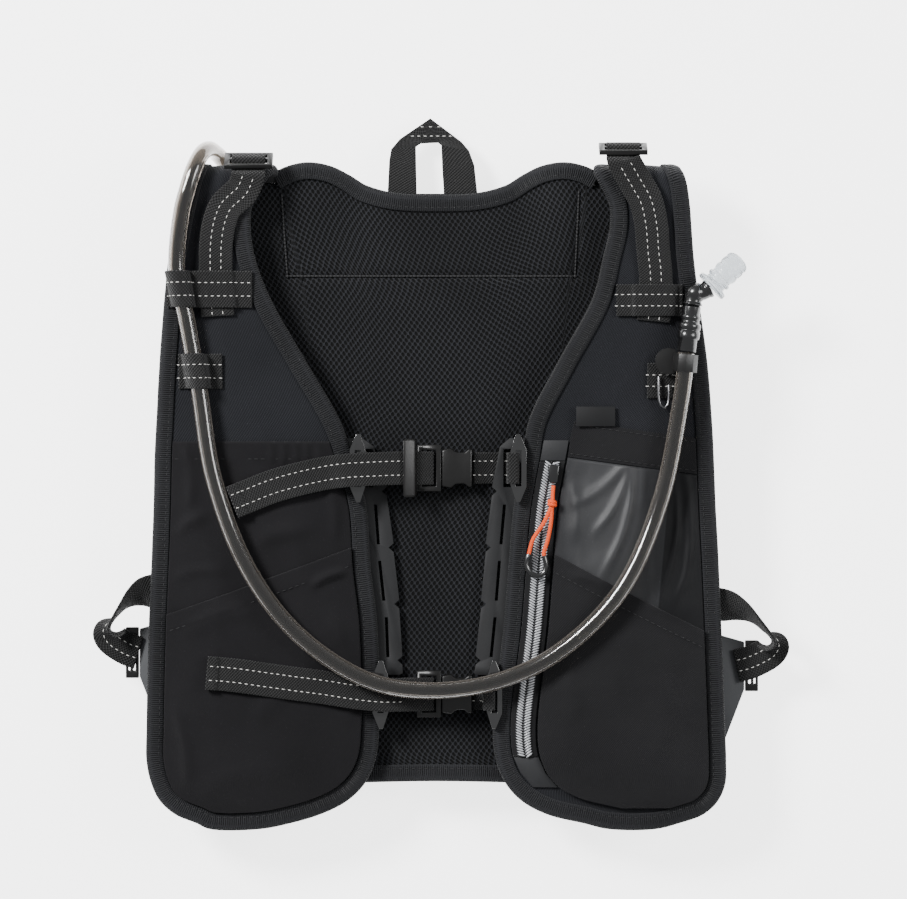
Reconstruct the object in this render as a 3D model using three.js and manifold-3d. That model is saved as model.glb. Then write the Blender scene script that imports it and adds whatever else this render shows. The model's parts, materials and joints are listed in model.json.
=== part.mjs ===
// A running hydration vest, lying on its back as it is put down on a table.
// A flat rear pouch lies on the surface and carries the padded back panel. Two padded front panels fold over
// at the shoulders and lie on the back panel, with their pockets, webbing, buckles and drinking hose on top.
// Millimetres, +Z up from the surface, +Y towards the collar, +X to the right of someone looking down at it.
import * as THREE from "three";
import { mergeVertices } from "three/addons/utils/BufferGeometryUtils.js";
import Module from "manifold-3d";

const wasm = await Module();
wasm.setup();

// Overall sizes
const halfWidth = 173; // centre line to the outer edge of a front panel
const panelLength = 388; // hem of a front panel to the start of its shoulder fold
const hemY = -214; // hem of the front panels, from the middle of the vest
const foldY = hemY + panelLength;
const backLength = 373; // lower edge of the back panel to the middle of the collar
const backHalfWidth = 146; // centre line to the side edge of the back panel
const backHemY = hemY + 28; // the back panel ends this far above the hem of the front panels
const collarRise = 19; // how far the collar climbs beside the shoulders, above its middle

// Thicknesses and clearances
const clearance = 0.4; // between pieces that are sewn or laid together
const frontFoam = 5.6;
const edgeFoam = 3.6; // a front panel where the tape pinches it
const backFoam = 8;
const tapeWall = 1;
const tapeReach = 9;
const fabric = 1.2;
const pouchWall = 2;
const pouchDepth = 20;
const sheetRubber = 1.6; // the cut strips, wings and patches
const webThick = 1.6;
const webWidth = 20;

// Shape of the soft parts
const shoulderRise = 12; // the front panels climb this far from the chest to the shoulder fold
const riseStart = 194; // and start to climb this far below the fold
const backRise = 8; // the back panel climbs this far beside the collar
const crownHeight = 3; // the front panels bulge this far in the middle
const pocketPuff = 2;
const foamRamp = 32; // width over which a front panel swells from its taped edge

// Levels above the surface
const backUnder = pouchDepth + clearance;
const backTop = backUnder + backFoam;
const stripUnder = backTop + clearance + webThick + clearance;
const panelUnder = stripUnder + sheetRubber + clearance + tapeWall + clearance;
const foldUnder = panelUnder + shoulderRise;
const stubMiddle = backUnder + backRise + backFoam / 2;
const foldInner = (foldUnder - stubMiddle - frontFoam / 2) / 2;
const foldZ = foldUnder - foldInner;

// Outline of the front panels. along is a share of panelLength, the rest are shares of halfWidth.
const outlineRows = [
  { along: 0, leftIn: 0.613, leftOut: 0.786, rightIn: 0.601, rightOut: 0.763 },
  { along: 0.009, leftIn: 0.509, leftOut: 0.832, rightIn: 0.514, rightOut: 0.844 },
  { along: 0.022, leftIn: 0.41, leftOut: 0.902, rightIn: 0.393, rightOut: 0.925 },
  { along: 0.042, leftIn: 0.318, leftOut: 0.954, rightIn: 0.306, rightOut: 0.974 },
  { along: 0.068, leftIn: 0.257, leftOut: 0.983, rightIn: 0.251, rightOut: 0.999 },
  { along: 0.102, leftIn: 0.22, leftOut: 1, rightIn: 0.217, rightOut: 1.002 },
  { along: 0.152, leftIn: 0.206, leftOut: 1, rightIn: 0.205, rightOut: 0.998 },
  { along: 0.31, leftIn: 0.212, leftOut: 0.992, rightIn: 0.243, rightOut: 0.985 },
  { along: 0.405, leftIn: 0.236, leftOut: 0.983, rightIn: 0.26, rightOut: 0.976 },
  { along: 0.5, leftIn: 0.252, leftOut: 0.975, rightIn: 0.279, rightOut: 0.965 },
  { along: 0.575, leftIn: 0.298, leftOut: 0.971, rightIn: 0.309, rightOut: 0.958 },
  { along: 0.632, leftIn: 0.344, leftOut: 0.964, rightIn: 0.332, rightOut: 0.951 },
  { along: 0.72, leftIn: 0.457, leftOut: 0.952, rightIn: 0.431, rightOut: 0.934 },
  { along: 0.818, leftIn: 0.581, leftOut: 0.934, rightIn: 0.55, rightOut: 0.903 },
  { along: 0.883, leftIn: 0.636, leftOut: 0.918, rightIn: 0.587, rightOut: 0.885 },
  { along: 0.93, leftIn: 0.65, leftOut: 0.898, rightIn: 0.61, rightOut: 0.877 },
  { along: 0.964, leftIn: 0.642, leftOut: 0.882, rightIn: 0.607, rightOut: 0.871 },
  { along: 1, leftIn: 0.598, leftOut: 0.861, rightIn: 0.569, rightOut: 0.858 },
];
// The same edges round the shoulder fold. turn is a share of the half turn.
const foldRows = [
  { turn: 0.25, leftIn: 0.575, leftOut: 0.846, rightIn: 0.555, rightOut: 0.846 },
  { turn: 0.5, leftIn: 0.561, leftOut: 0.834, rightIn: 0.555, rightOut: 0.834 },
  { turn: 0.75, leftIn: 0.556, leftOut: 0.826, rightIn: 0.555, rightOut: 0.826 },
  { turn: 1, leftIn: 0.555, leftOut: 0.82, rightIn: 0.555, rightOut: 0.82 },
];

// Small helpers
const mix = (a, b, share) => a + (b - a) * share;
const clamp = (value) => Math.min(1, Math.max(0, value));
function smooth(from, to, value) {
  const share = clamp((value - from) / (to - from));
  return share * share * (3 - 2 * share);
}
function lookUp(table, key, column, value) {
  if (value <= table[0][key]) return table[0][column];
  for (let i = 1; i < table.length; i++) {
    const a = table[i - 1];
    const b = table[i];
    if (value <= b[key]) return mix(a[column], b[column], (value - a[key]) / (b[key] - a[key]));
  }
  return table[table.length - 1][column];
}

// A closed mesh from points and faces, turned so that its faces point outwards
function closedMesh(points, faces) {
  let volume = 0;
  for (const [a, b, c] of faces) {
    const [p, q, r] = [points[a], points[b], points[c]];
    volume += p[0] * (q[1] * r[2] - q[2] * r[1]);
    volume += p[1] * (q[2] * r[0] - q[0] * r[2]);
    volume += p[2] * (q[0] * r[1] - q[1] * r[0]);
  }
  const index = faces.flatMap(([a, b, c]) => (volume < 0 ? [a, c, b] : [a, b, c]));
  const geometry = new THREE.BufferGeometry();
  geometry.setAttribute("position", new THREE.Float32BufferAttribute(points.flat(), 3));
  geometry.setIndex(index);
  return geometry;
}

// A cloth-like solid between two grids of points that have the same rows and columns
function betweenGrids(upper, lower) {
  const rows = upper.length;
  const columns = upper[0].length;
  const points = [...upper.flat(), ...lower.flat()];
  const below = rows * columns;
  const at = (r, c) => r * columns + c;
  const faces = [];
  const quad = (a, b, c, d) => faces.push([a, b, c], [a, c, d]);
  for (let r = 0; r + 1 < rows; r++)
    for (let c = 0; c + 1 < columns; c++) {
      quad(at(r, c), at(r, c + 1), at(r + 1, c + 1), at(r + 1, c));
      quad(below + at(r, c), below + at(r + 1, c), below + at(r + 1, c + 1), below + at(r, c + 1));
    }
  const rim = [];
  for (let c = 0; c < columns; c++) rim.push(at(0, c));
  for (let r = 1; r < rows; r++) rim.push(at(r, columns - 1));
  for (let c = columns - 2; c >= 0; c--) rim.push(at(rows - 1, c));
  for (let r = rows - 2; r > 0; r--) rim.push(at(r, 0));
  rim.forEach((a, i) => {
    const b = rim[(i + 1) % rim.length];
    quad(a, below + a, below + b, b);
  });
  return closedMesh(points, faces);
}

// A solid swept through frames, each with a place p and the section's two directions a and b
function sweep(frames, section) {
  const count = section.length;
  const points = frames.flatMap(({ p, a, b }) =>
    section.map(([u, v]) => p.clone().addScaledVector(a, u).addScaledVector(b, v).toArray()),
  );
  const faces = [];
  for (let i = 0; i + 1 < frames.length; i++)
    for (let k = 0; k < count; k++) {
      const [a, b] = [i * count + k, i * count + ((k + 1) % count)];
      faces.push([a, b, b + count], [a, b + count, a + count]);
    }
  const outline = section.map(([u, v]) => new THREE.Vector2(u, v));
  const last = (frames.length - 1) * count;
  for (const [a, b, c] of THREE.ShapeUtils.triangulateShape(outline, [])) {
    faces.push([a, c, b]);
    faces.push([last + a, last + b, last + c]);
  }
  return closedMesh(points, faces);
}

const vec = (x, y, z) => new THREE.Vector3(x, y, z);

// Webbing along a path of places. across is its width direction in each place.
function webbing(path, width = webWidth, thick = webThick) {
  const frames = path.map(({ at, across }, i) => {
    const before = vec(...path[Math.max(0, i - 1)].at);
    const after = vec(...path[Math.min(path.length - 1, i + 1)].at);
    const along = after.sub(before).normalize();
    const a = vec(...across).normalize();
    a.addScaledVector(along, -a.dot(along)).normalize();
    return { p: vec(...at), a, b: vec(0, 0, 0).crossVectors(along, a) };
  });
  const [w, t] = [width / 2, thick / 2];
  return sweep(frames, [[-w, -t], [w, -t], [w, t], [-w, t]]);
}

// A flat piece from an outline, with its underside at a height
function plate(outline, thick, under) {
  const shape = new THREE.Shape(outline.map(([x, y]) => new THREE.Vector2(x, y)));
  const geometry = new THREE.ExtrudeGeometry(shape, { depth: thick, bevelEnabled: false });
  geometry.translate(0, 0, under);
  return geometry;
}
const box = (x0, x1, y0, y1) => [[x0, y0], [x1, y0], [x1, y1], [x0, y1]];

// Solids for cuts and joins
function solid(geometry) {
  const bare = geometry.clone();
  bare.deleteAttribute("normal");
  bare.deleteAttribute("uv");
  const merged = mergeVertices(bare, 1e-4);
  const vertProperties = new Float32Array(merged.attributes.position.array);
  const triVerts = new Uint32Array(merged.index.array);
  return new wasm.Manifold(new wasm.Mesh({ numProp: 3, vertProperties, triVerts }));
}
function geometryOf(manifold) {
  const mesh = manifold.getMesh();
  const geometry = new THREE.BufferGeometry();
  geometry.setAttribute("position", new THREE.BufferAttribute(new Float32Array(mesh.vertProperties), 3));
  geometry.setIndex(new THREE.BufferAttribute(new Uint32Array(mesh.triVerts), 1));
  return geometry;
}
const joined = (...pieces) => geometryOf(pieces.map(solid).reduce((a, b) => a.add(b)));
function flatPiece(outline, thick, under, holes = []) {
  if (!holes.length) return plate(outline, thick, under);
  const cuts = holes.map((hole) => solid(plate(hole, thick + 2, under - 1)));
  return geometryOf(cuts.reduce((rest, cut) => rest.subtract(cut), solid(plate(outline, thick, under))));
}

// Materials and the tree of pieces
const vest = new THREE.Group();
const finish = (color, roughness, metalness = 0) =>
  new THREE.MeshStandardMaterial({ color, roughness, metalness });
const finishes = {
  mesh: finish(0x17181b, 0.95),
  knit: finish(0x1b1c20, 0.92),
  stretch: finish(0x141317, 0.9),
  ripstop: finish(0x3a3b3f, 0.6),
  tape: finish(0x1d1f22, 0.85),
  webbing: finish(0x23201e, 0.85),
  rubber: finish(0x34373a, 0.7),
  plastic: finish(0x120f0e, 0.4),
  coil: finish(0x8d929c, 0.35, 0.4),
  wire: finish(0x9a9a9a, 0.3, 1),
  cord: finish(0xff5a1f, 0.7),
  tube: finish(0x4a4239, 0.15),
  silicone: finish(0xdfe6e8, 0.3),
};
function piece(name, geometry, material) {
  const mesh = new THREE.Mesh(geometry, finishes[material]);
  mesh.name = name;
  vest.add(mesh);
}

// The two sides: sign turns a distance from the centre line into X
const sides = {
  left: { sign: -1, inColumn: "leftIn", outColumn: "leftOut" },
  right: { sign: 1, inColumn: "rightIn", outColumn: "rightOut" },
};
const innerEdge = (side, y) =>
  halfWidth * lookUp(outlineRows, "along", sides[side].inColumn, (y - hemY) / panelLength);
const outerEdge = (side, y) =>
  halfWidth * lookUp(outlineRows, "along", sides[side].outColumn, (y - hemY) / panelLength);

// Heights of the front panels. x is a distance from the centre line.
const crownMiddle = 0.6;
const crownSpan = 0.38;
function frontUnder(x, y) {
  const rise = shoulderRise * smooth(foldY - riseStart, foldY, y);
  const across = (x / halfWidth - crownMiddle) / crownSpan;
  const fromHem = smooth(0, 0.15, (y - hemY) / panelLength);
  const fromFold = 1 - smooth(0.7, 0.92, (y - hemY) / panelLength);
  return panelUnder + rise + crownHeight * Math.max(0, 1 - across * across) * fromHem * fromFold;
}
function outlineOf(side) {
  const { inColumn, outColumn } = sides[side];
  const y = (row) => hemY + row.along * panelLength;
  return [
    ...outlineRows.map((row) => [halfWidth * row[outColumn], y(row)]).reverse(),
    ...outlineRows.map((row) => [halfWidth * row[inColumn], y(row)]),
  ];
}
function distanceToEdge(side, x, y) {
  const outline = outlineOf(side);
  let best = Infinity;
  for (let i = 1; i < outline.length; i++) {
    const [[ax, ay], [bx, by]] = [outline[i - 1], outline[i]];
    const [dx, dy] = [bx - ax, by - ay];
    const share = clamp(((x - ax) * dx + (y - ay) * dy) / (dx * dx + dy * dy));
    best = Math.min(best, Math.hypot(x - ax - share * dx, y - ay - share * dy));
  }
  return best;
}
const foamAt = (side, x, y) =>
  mix(edgeFoam, frontFoam, clamp((distanceToEdge(side, x, y) - tapeReach) / foamRamp));
const frontTop = (side, x, y) => frontUnder(x, y) + foamAt(side, x, y);

// A place on a front panel: past the fold, y - foldY is the length along the inside of the fold. h is the height
// above the underside.
const foldLength = Math.PI * foldInner;
function onPanel(side, x, y, h) {
  const { sign } = sides[side];
  if (y <= foldY) return vec(sign * x, y, frontUnder(x, y) + h);
  const turn = (y - foldY) / foldInner;
  const reach = foldInner + h;
  return vec(sign * x, foldY + reach * Math.sin(turn), foldZ + reach * Math.cos(turn));
}

// Front panels. grow makes one that is larger all round, which hollows out the tape.
const acrossShares = [0, 0.1, 0.32, 0.5, 0.68, 0.9, 1];
function frontPanel(side, grow = 0) {
  const { inColumn, outColumn } = sides[side];
  const flat = outlineRows.map((row) => [hemY + row.along * panelLength, row]);
  const folded = foldRows.map((row) => [foldY + row.turn * foldLength, row]);
  const rows = [...flat, ...folded];
  const grid = (upper) =>
    rows.map(([along, row], i) => {
      const y = along + (i === 0 ? -grow : 0) + (i === rows.length - 1 ? grow : 0);
      return acrossShares.map((share) => {
        const x = halfWidth * mix(row[inColumn], row[outColumn], share) + grow * (2 * share - 1);
        return onPanel(side, x, y, upper ? foamAt(side, x, y) + grow : -grow).toArray();
      });
    });
  return betweenGrids(grid(true), grid(false));
}

// Tape that binds an edge: swept round it, then hollowed by the pad that it binds, grown by the clearance
function tape(frames, pad, grownPad) {
  const outside = pad / 2 + clearance + tapeWall;
  const face = clearance + tapeWall;
  const section = [[face, -outside], [face, outside], [-tapeReach, outside], [-tapeReach, -outside]];
  const whole = sweep(frames, section);
  return geometryOf(solid(whole).subtract(solid(grownPad)));
}
// Frames along an edge, from its places, the pad's normal in each, and a place inside the pad
function edgeFrames(edge) {
  return edge.map(({ p, normal, inside }, i) => {
    const before = edge[Math.max(0, i - 1)].p;
    const after = edge[Math.min(edge.length - 1, i + 1)].p;
    const a = vec(0, 0, 0).crossVectors(after.clone().sub(before).normalize(), normal).normalize();
    if (a.dot(inside.clone().sub(p)) > 0) a.negate();
    return { p, a, b: normal };
  });
}
// The edge of a front panel, from under the fold, down its outer side, round the hem and up its inner side
function panelEdge(side) {
  const { inColumn, outColumn } = sides[side];
  const onRow = (row, y, column, other) => [y, halfWidth * row[column], halfWidth * row[other]];
  const rowsOf = (column, other) => [
    ...outlineRows.map((row) => onRow(row, hemY + row.along * panelLength, column, other)),
    ...foldRows.map((row) => onRow(row, foldY + row.turn * foldLength, column, other)),
  ];
  const outer = rowsOf(outColumn, inColumn).reverse();
  const inner = rowsOf(inColumn, outColumn);
  const hem = [hemY, (outer[outer.length - 1][1] + inner[0][1]) / 2, null];
  const middle = edgeFoam / 2;
  const step = 0.5;
  return [...outer, hem, ...inner].map(([y, x, other]) => {
    const p = onPanel(side, x, y, middle);
    const alongX = onPanel(side, x + step, y, middle).sub(onPanel(side, x - step, y, middle));
    const alongY = onPanel(side, x, y + step, middle).sub(onPanel(side, x, y - step, middle));
    const normal = vec(0, 0, 0).crossVectors(alongX, alongY).normalize();
    if (sides[side].sign < 0) normal.negate();
    const [insideX, insideY] = other === null ? [x, y + tapeReach] : [other, y];
    return { p, normal, inside: onPanel(side, insideX, insideY, middle) };
  });
}
const edgeOf = { left: edgeFrames(panelEdge("left")), right: edgeFrames(panelEdge("right")) };

// The edge of what lies between the tapes, as distances from the centre line at each height up the panel
function insetRows(side, inset) {
  const moved = edgeOf[side]
    .filter(({ p }) => p.y <= foldY + 1e-6)
    .map(({ p, a }) => p.clone().addScaledVector(a, -inset))
    .map((p) => ({ x: Math.abs(p.x), y: p.y }));
  const lowest = moved.reduce((best, p, i) => (p.y < moved[best].y ? i : best), 0);
  return { outer: moved.slice(0, lowest + 1).reverse(), inner: moved.slice(lowest) };
}
const pocketInset = tapeReach + clearance;
const insetOf = { left: insetRows("left", pocketInset), right: insetRows("right", pocketInset) };
const insideTape = (side, which, y) => lookUp(insetOf[side][which], "y", "x", y);
const pocketHem = (side) => Math.max(insetOf[side].inner[0].y, insetOf[side].outer[0].y);

// Pockets. A pocket is a wall over a front panel, from low to high. Both are heights at the inner and at the outer
// tape, and the wall runs between two lines, from and to.
const layer = 2 * clearance + fabric; // a pocket wall and the room that it takes over another
function puff(side, x, y) {
  const room = clamp((distanceToEdge(side, x, y) - tapeReach) / foamRamp);
  const up = (y - hemY) / panelLength;
  return pocketPuff * room * smooth(0, 0.3, up) * (1 - smooth(0.46, 0.56, up));
}
const pocketUnder = (side, x, y, layers) =>
  frontTop(side, x, y) + puff(side, x, y) + layers * layer + clearance;
// The height of the pockets for what lies on them
const overPockets = (side, x, y) => frontTop(side, x, y) + puff(side, x, y) + 2 * layer;
const pocketShares = [0, 0.2, 0.4, 0.6, 0.8, 1];
function wallPiece(side, [from, to], low, high, layers, rows = hemRows) {
  const grid = (extra) =>
    rows.map((upShare) =>
      pocketShares.map((share) => {
        const y = mix(mix(low[0], low[1], share), mix(high[0], high[1], share), upShare);
        const x = mix(from(y), to(y), share);
        return [sides[side].sign * x, y, pocketUnder(side, x, y, layers) + extra];
      }),
    );
  return betweenGrids(grid(fabric), grid(0));
}
const up = (share) => hemY + share * panelLength;
const hemRows = [0, 0.012, 0.04, 0.1, 0.2, 0.36, 0.58, 0.8, 1];

// Left pocket: a tall stretch pocket, and a lower one that crosses it on a slant
const leftMouth = [up(0.598), up(0.598)];
const leftSlant = [up(0.434), up(0.33)];
const leftHem = [pocketHem("left"), pocketHem("left")];
const leftTapes = [(y) => insideTape("left", "inner", y), (y) => insideTape("left", "outer", y)];
piece("stretch_pocket_left", wallPiece("left", leftTapes, leftHem, leftMouth, 0), "stretch");
piece("slant_pocket_left", wallPiece("left", leftTapes, leftHem, leftSlant, 1), "stretch");

// Right pocket: a thin pocket with a banded mouth beside the zip, and a lower one that crosses it on a slant
const zipTapeWidth = 15;
const bandDepth = 22;
const besideTape = (y) => insideTape("right", "inner", y);
const besideZip = (y) => besideTape(y) + zipTapeWidth + 3 * clearance;
const outerRight = (y) => Math.max(besideZip(y) + 1, insideTape("right", "outer", y));
const rightLines = [besideZip, outerRight];
const rightHem = [up(0.03), up(0.03)];
const rightMouth = [up(0.63), up(0.603)];
const rightSlant = [up(0.424), up(0.305)];
const bandFoot = rightMouth.map((y) => y - bandDepth + clearance);
const ripstopTop = rightMouth.map((y) => y - bandDepth);
piece("ripstop_pocket_right", wallPiece("right", rightLines, rightHem, ripstopTop, 0), "ripstop");
piece("mouth_band_right", wallPiece("right", rightLines, bandFoot, rightMouth, 0, [0, 0.5, 1]), "stretch");
piece("slant_pocket_right", wallPiece("right", rightLines, rightHem, rightSlant, 1), "stretch");

// Zip: its tape with the raised coil, a rubber patch past each end, the slider, and the pull
const zipTopShare = 0.567;
const zipBottomShare = 0.11;
const patchTopShare = 0.6;
const patchBottomShare = 0.062;
const coilHeight = 1.6;
const coilHalfWidth = 3.2;
const coilShare = coilHalfWidth / zipTapeWidth;
const zipShares = [0, 0.48 - coilShare, 0.5 - coilShare, 0.5 + coilShare, 0.52 + coilShare, 1];
function zipStrip(lowShare, highShare, steps, coil) {
  const rows = Array.from({ length: steps + 1 }, (_, i) => mix(up(lowShare), up(highShare), i / steps));
  const grid = (upper) =>
    rows.map((y) =>
      zipShares.map((share, i) => {
        const x = besideTape(y) + zipTapeWidth * share;
        const raised = upper ? fabric + (coil && (i === 2 || i === 3) ? coilHeight : 0) : 0;
        return [x, y, frontTop("right", x, y) + clearance + raised];
      }),
    );
  return betweenGrids(grid(true), grid(false));
}
const patchGap = clearance / panelLength;
piece("zip_right", zipStrip(zipBottomShare, zipTopShare, 7, true), "coil");
piece("zip_patch_top", zipStrip(zipTopShare + patchGap, patchTopShare, 2, false), "rubber");
piece("zip_patch_bottom", zipStrip(patchBottomShare, zipBottomShare - patchGap, 2, false), "rubber");

for (const side of ["left", "right"]) {
  piece(`front_panel_${side}`, frontPanel(side), "knit");
  piece(`panel_binding_${side}`, tape(edgeOf[side], edgeFoam, frontPanel(side, clearance)), "tape");
}

// Back panel. across and collar are shares of the half width and of collarRise.
const collarRows = [
  { across: 0, collar: 0 }, { across: 0.18, collar: 0.06 }, { across: 0.3, collar: 0.3 },
  { across: 0.38, collar: 0.63 }, { across: 0.46, collar: 0.9 }, { across: 0.55, collar: 1 },
  { across: 0.637, collar: 0.86 },
];
// Its side edge: along is a share of its length, wide a share of its half width
const sideRows = [
  { along: 0, wide: 0.88 }, { along: 0.012, wide: 0.94 }, { along: 0.05, wide: 1 },
  { along: 0.22, wide: 1 }, { along: 0.36, wide: 0.955 }, { along: 0.5, wide: 0.87 },
  { along: 0.66, wide: 0.815 }, { along: 0.8, wide: 0.85 }, { along: 0.9, wide: 0.93 },
  { along: 0.96, wide: 0.965 }, { along: 1, wide: 0.97 },
];
const collarY = backHemY + backLength - 21;
const stubY = foldY - clearance;
const backLift = (x, y) =>
  backRise * smooth(foldY - 60, foldY - 4, y) * smooth(0.3, 0.55, x / backHalfWidth);
function backRowX(share, along) {
  return share * backHalfWidth * lookUp(sideRows, "along", "wide", along);
}
const collarEnd = collarRows[collarRows.length - 1].across;
const backColumns = [...collarRows.map((row) => row.across), collarEnd + 0.006, 0.75, 0.88, 1];
const backTopY = (across) =>
  across > collarEnd + 0.001 ? stubY : collarY + collarRise * lookUp(collarRows, "across", "collar", across);
function backPanel(grow = 0) {
  const columns = [...backColumns.slice(1).map((a) => -a).reverse(), ...backColumns];
  const grid = (extra) =>
    sideRows.map(({ along }) =>
      columns.map((across) => {
        const y = mix(backHemY, backTopY(Math.abs(across)), along) + grow * (2 * along - 1);
        const x = backRowX(across, along) + grow * across;
        return [x, y, backUnder + backLift(Math.abs(x), y) + extra];
      }),
    );
  return betweenGrids(grid(backFoam + grow), grid(-grow));
}
piece("back_panel", backPanel(), "mesh");

// Tape round the collar, and round the sides and the lower edge of the back panel
function backEdge(places) {
  const step = 0.5;
  const onBack = (x, y) => vec(x, y, backUnder + backLift(Math.abs(x), y) + backFoam / 2);
  return edgeFrames(
    places.map(([x, y]) => {
      const alongX = onBack(x + step, y).sub(onBack(x - step, y));
      const alongY = onBack(x, y + step).sub(onBack(x, y - step));
      const normal = vec(0, 0, 0).crossVectors(alongX, alongY).normalize();
      return { p: onBack(x, y), normal, inside: onBack(x * 0.8, mix(y, 0, 0.1)) };
    }),
  );
}
const wideTop = sideRows[sideRows.length - 1].wide;
const collarPlaces = collarRows.map((row) => [row.across * backHalfWidth * wideTop, backTopY(row.across)]);
const collarLine = [...collarPlaces.slice(1).map(([x, y]) => [-x, y]).reverse(), ...collarPlaces];
piece("collar_binding", tape(backEdge(collarLine), backFoam, backPanel(clearance)), "tape");
const sideLine = sideRows
  .filter((row) => row.along < 0.97)
  .map((row) => [backHalfWidth * row.wide, mix(backHemY, stubY, row.along)]);
const hemLine = [...[...sideLine].reverse().map(([x, y]) => [-x, y]), [0, backHemY], ...sideLine];
piece("hem_binding", tape(backEdge(hemLine), backFoam, backPanel(clearance)), "tape");

// Rear pouch: a soft tray below the back panel, open at the top, where the reservoir goes in and the hose comes
// out
const pouchHalfWidth = 102;
const pouchHemY = backHemY + 16;
const pouchTopY = foldY - 24;
const pouchCorner = 34;
const mouthHalfWidth = 92;
const mouthHeight = 12;
// up is a share of pouchDepth, inset a share of the soft edge
const pouchSoftEdge = 12;
const pouchRows = [
  { up: 0, inset: 1 }, { up: 0.1, inset: 0.62 }, { up: 0.35, inset: 0.22 }, { up: 0.65, inset: 0.05 },
  { up: 1, inset: 0 },
];
function pouchBody(wall, under, over) {
  const corners = [[1, 1], [-1, 1], [-1, -1], [1, -1]];
  const turns = 4;
  const ring = (inset, z) => {
    const w = pouchHalfWidth - wall - inset;
    const low = pouchHemY + wall + inset;
    const high = pouchTopY - wall - inset;
    const r = pouchCorner - wall;
    return corners.flatMap(([sx, sy], corner) =>
      Array.from({ length: turns + 1 }, (_, i) => {
        const angle = (Math.PI / 2) * (corner + i / turns);
        const y = sy > 0 ? high - r : low + r;
        return [sx * (w - r) + r * Math.cos(angle), y + r * Math.sin(angle), z];
      }),
    );
  };
  const rings = pouchRows.map((row) => ring(row.inset * pouchSoftEdge, mix(under, over, row.up)));
  const count = rings[0].length;
  const faces = [];
  for (let i = 0; i + 1 < rings.length; i++)
    for (let k = 0; k < count; k++) {
      const [a, b] = [i * count + k, i * count + ((k + 1) % count)];
      faces.push([a, b, b + count], [a, b + count, a + count]);
    }
  const top = (rings.length - 1) * count;
  for (let k = 1; k + 1 < count; k++) faces.push([0, k + 1, k], [top, top + k, top + k + 1]);
  return closedMesh(rings.flat(), faces);
}
const mouthOutline = box(-mouthHalfWidth, mouthHalfWidth, pouchTopY - pouchCorner, pouchTopY + 5);
const mouthCut = flatPiece(mouthOutline, mouthHeight + 1, pouchDepth - mouthHeight);
const pouch = solid(pouchBody(0, 0, pouchDepth))
  .subtract(solid(pouchBody(pouchWall, pouchWall, pouchDepth + 1)))
  .subtract(solid(mouthCut));
piece("rear_pouch", geometryOf(pouch), "knit");

// Carry handle: webbing folded to a peak, sewn below the collar and leaning down to the surface
const handle = { left: -30, right: 26, peak: -3.6, rise: 41, gapLeft: -11.6, gapRight: 5.2, slope: 0.13 };
const handleFoot = collarY - 7;
const handleUnder = backUnder - clearance - tapeWall - clearance - 1.8;
function carryHandle() {
  const top = collarY + tapeWall + clearance + 6.5 + handle.rise;
  const outline = [
    [handle.left, handleFoot], [handle.gapLeft, handleFoot], [handle.gapLeft - 1, top - 16],
    [handle.gapRight - 2, top - 15], [handle.gapRight, handleFoot], [handle.right, handleFoot],
    [handle.right - 2.2, top - 29], [handle.right - 6.5, top - 18], [handle.peak + 5, top - 1],
    [handle.peak, top], [handle.peak - 5, top - 1], [handle.left + 5, top - 15], [handle.left + 1.6, top - 22],
  ];
  const geometry = flatPiece(outline, 1.8, handleUnder);
  const places = geometry.attributes.position;
  for (let i = 0; i < places.count; i++)
    places.setZ(i, places.getZ(i) - handle.slope * Math.max(0, places.getY(i) - handleFoot));
  return geometry;
}
piece("carry_handle", carryHandle(), "webbing");

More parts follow.
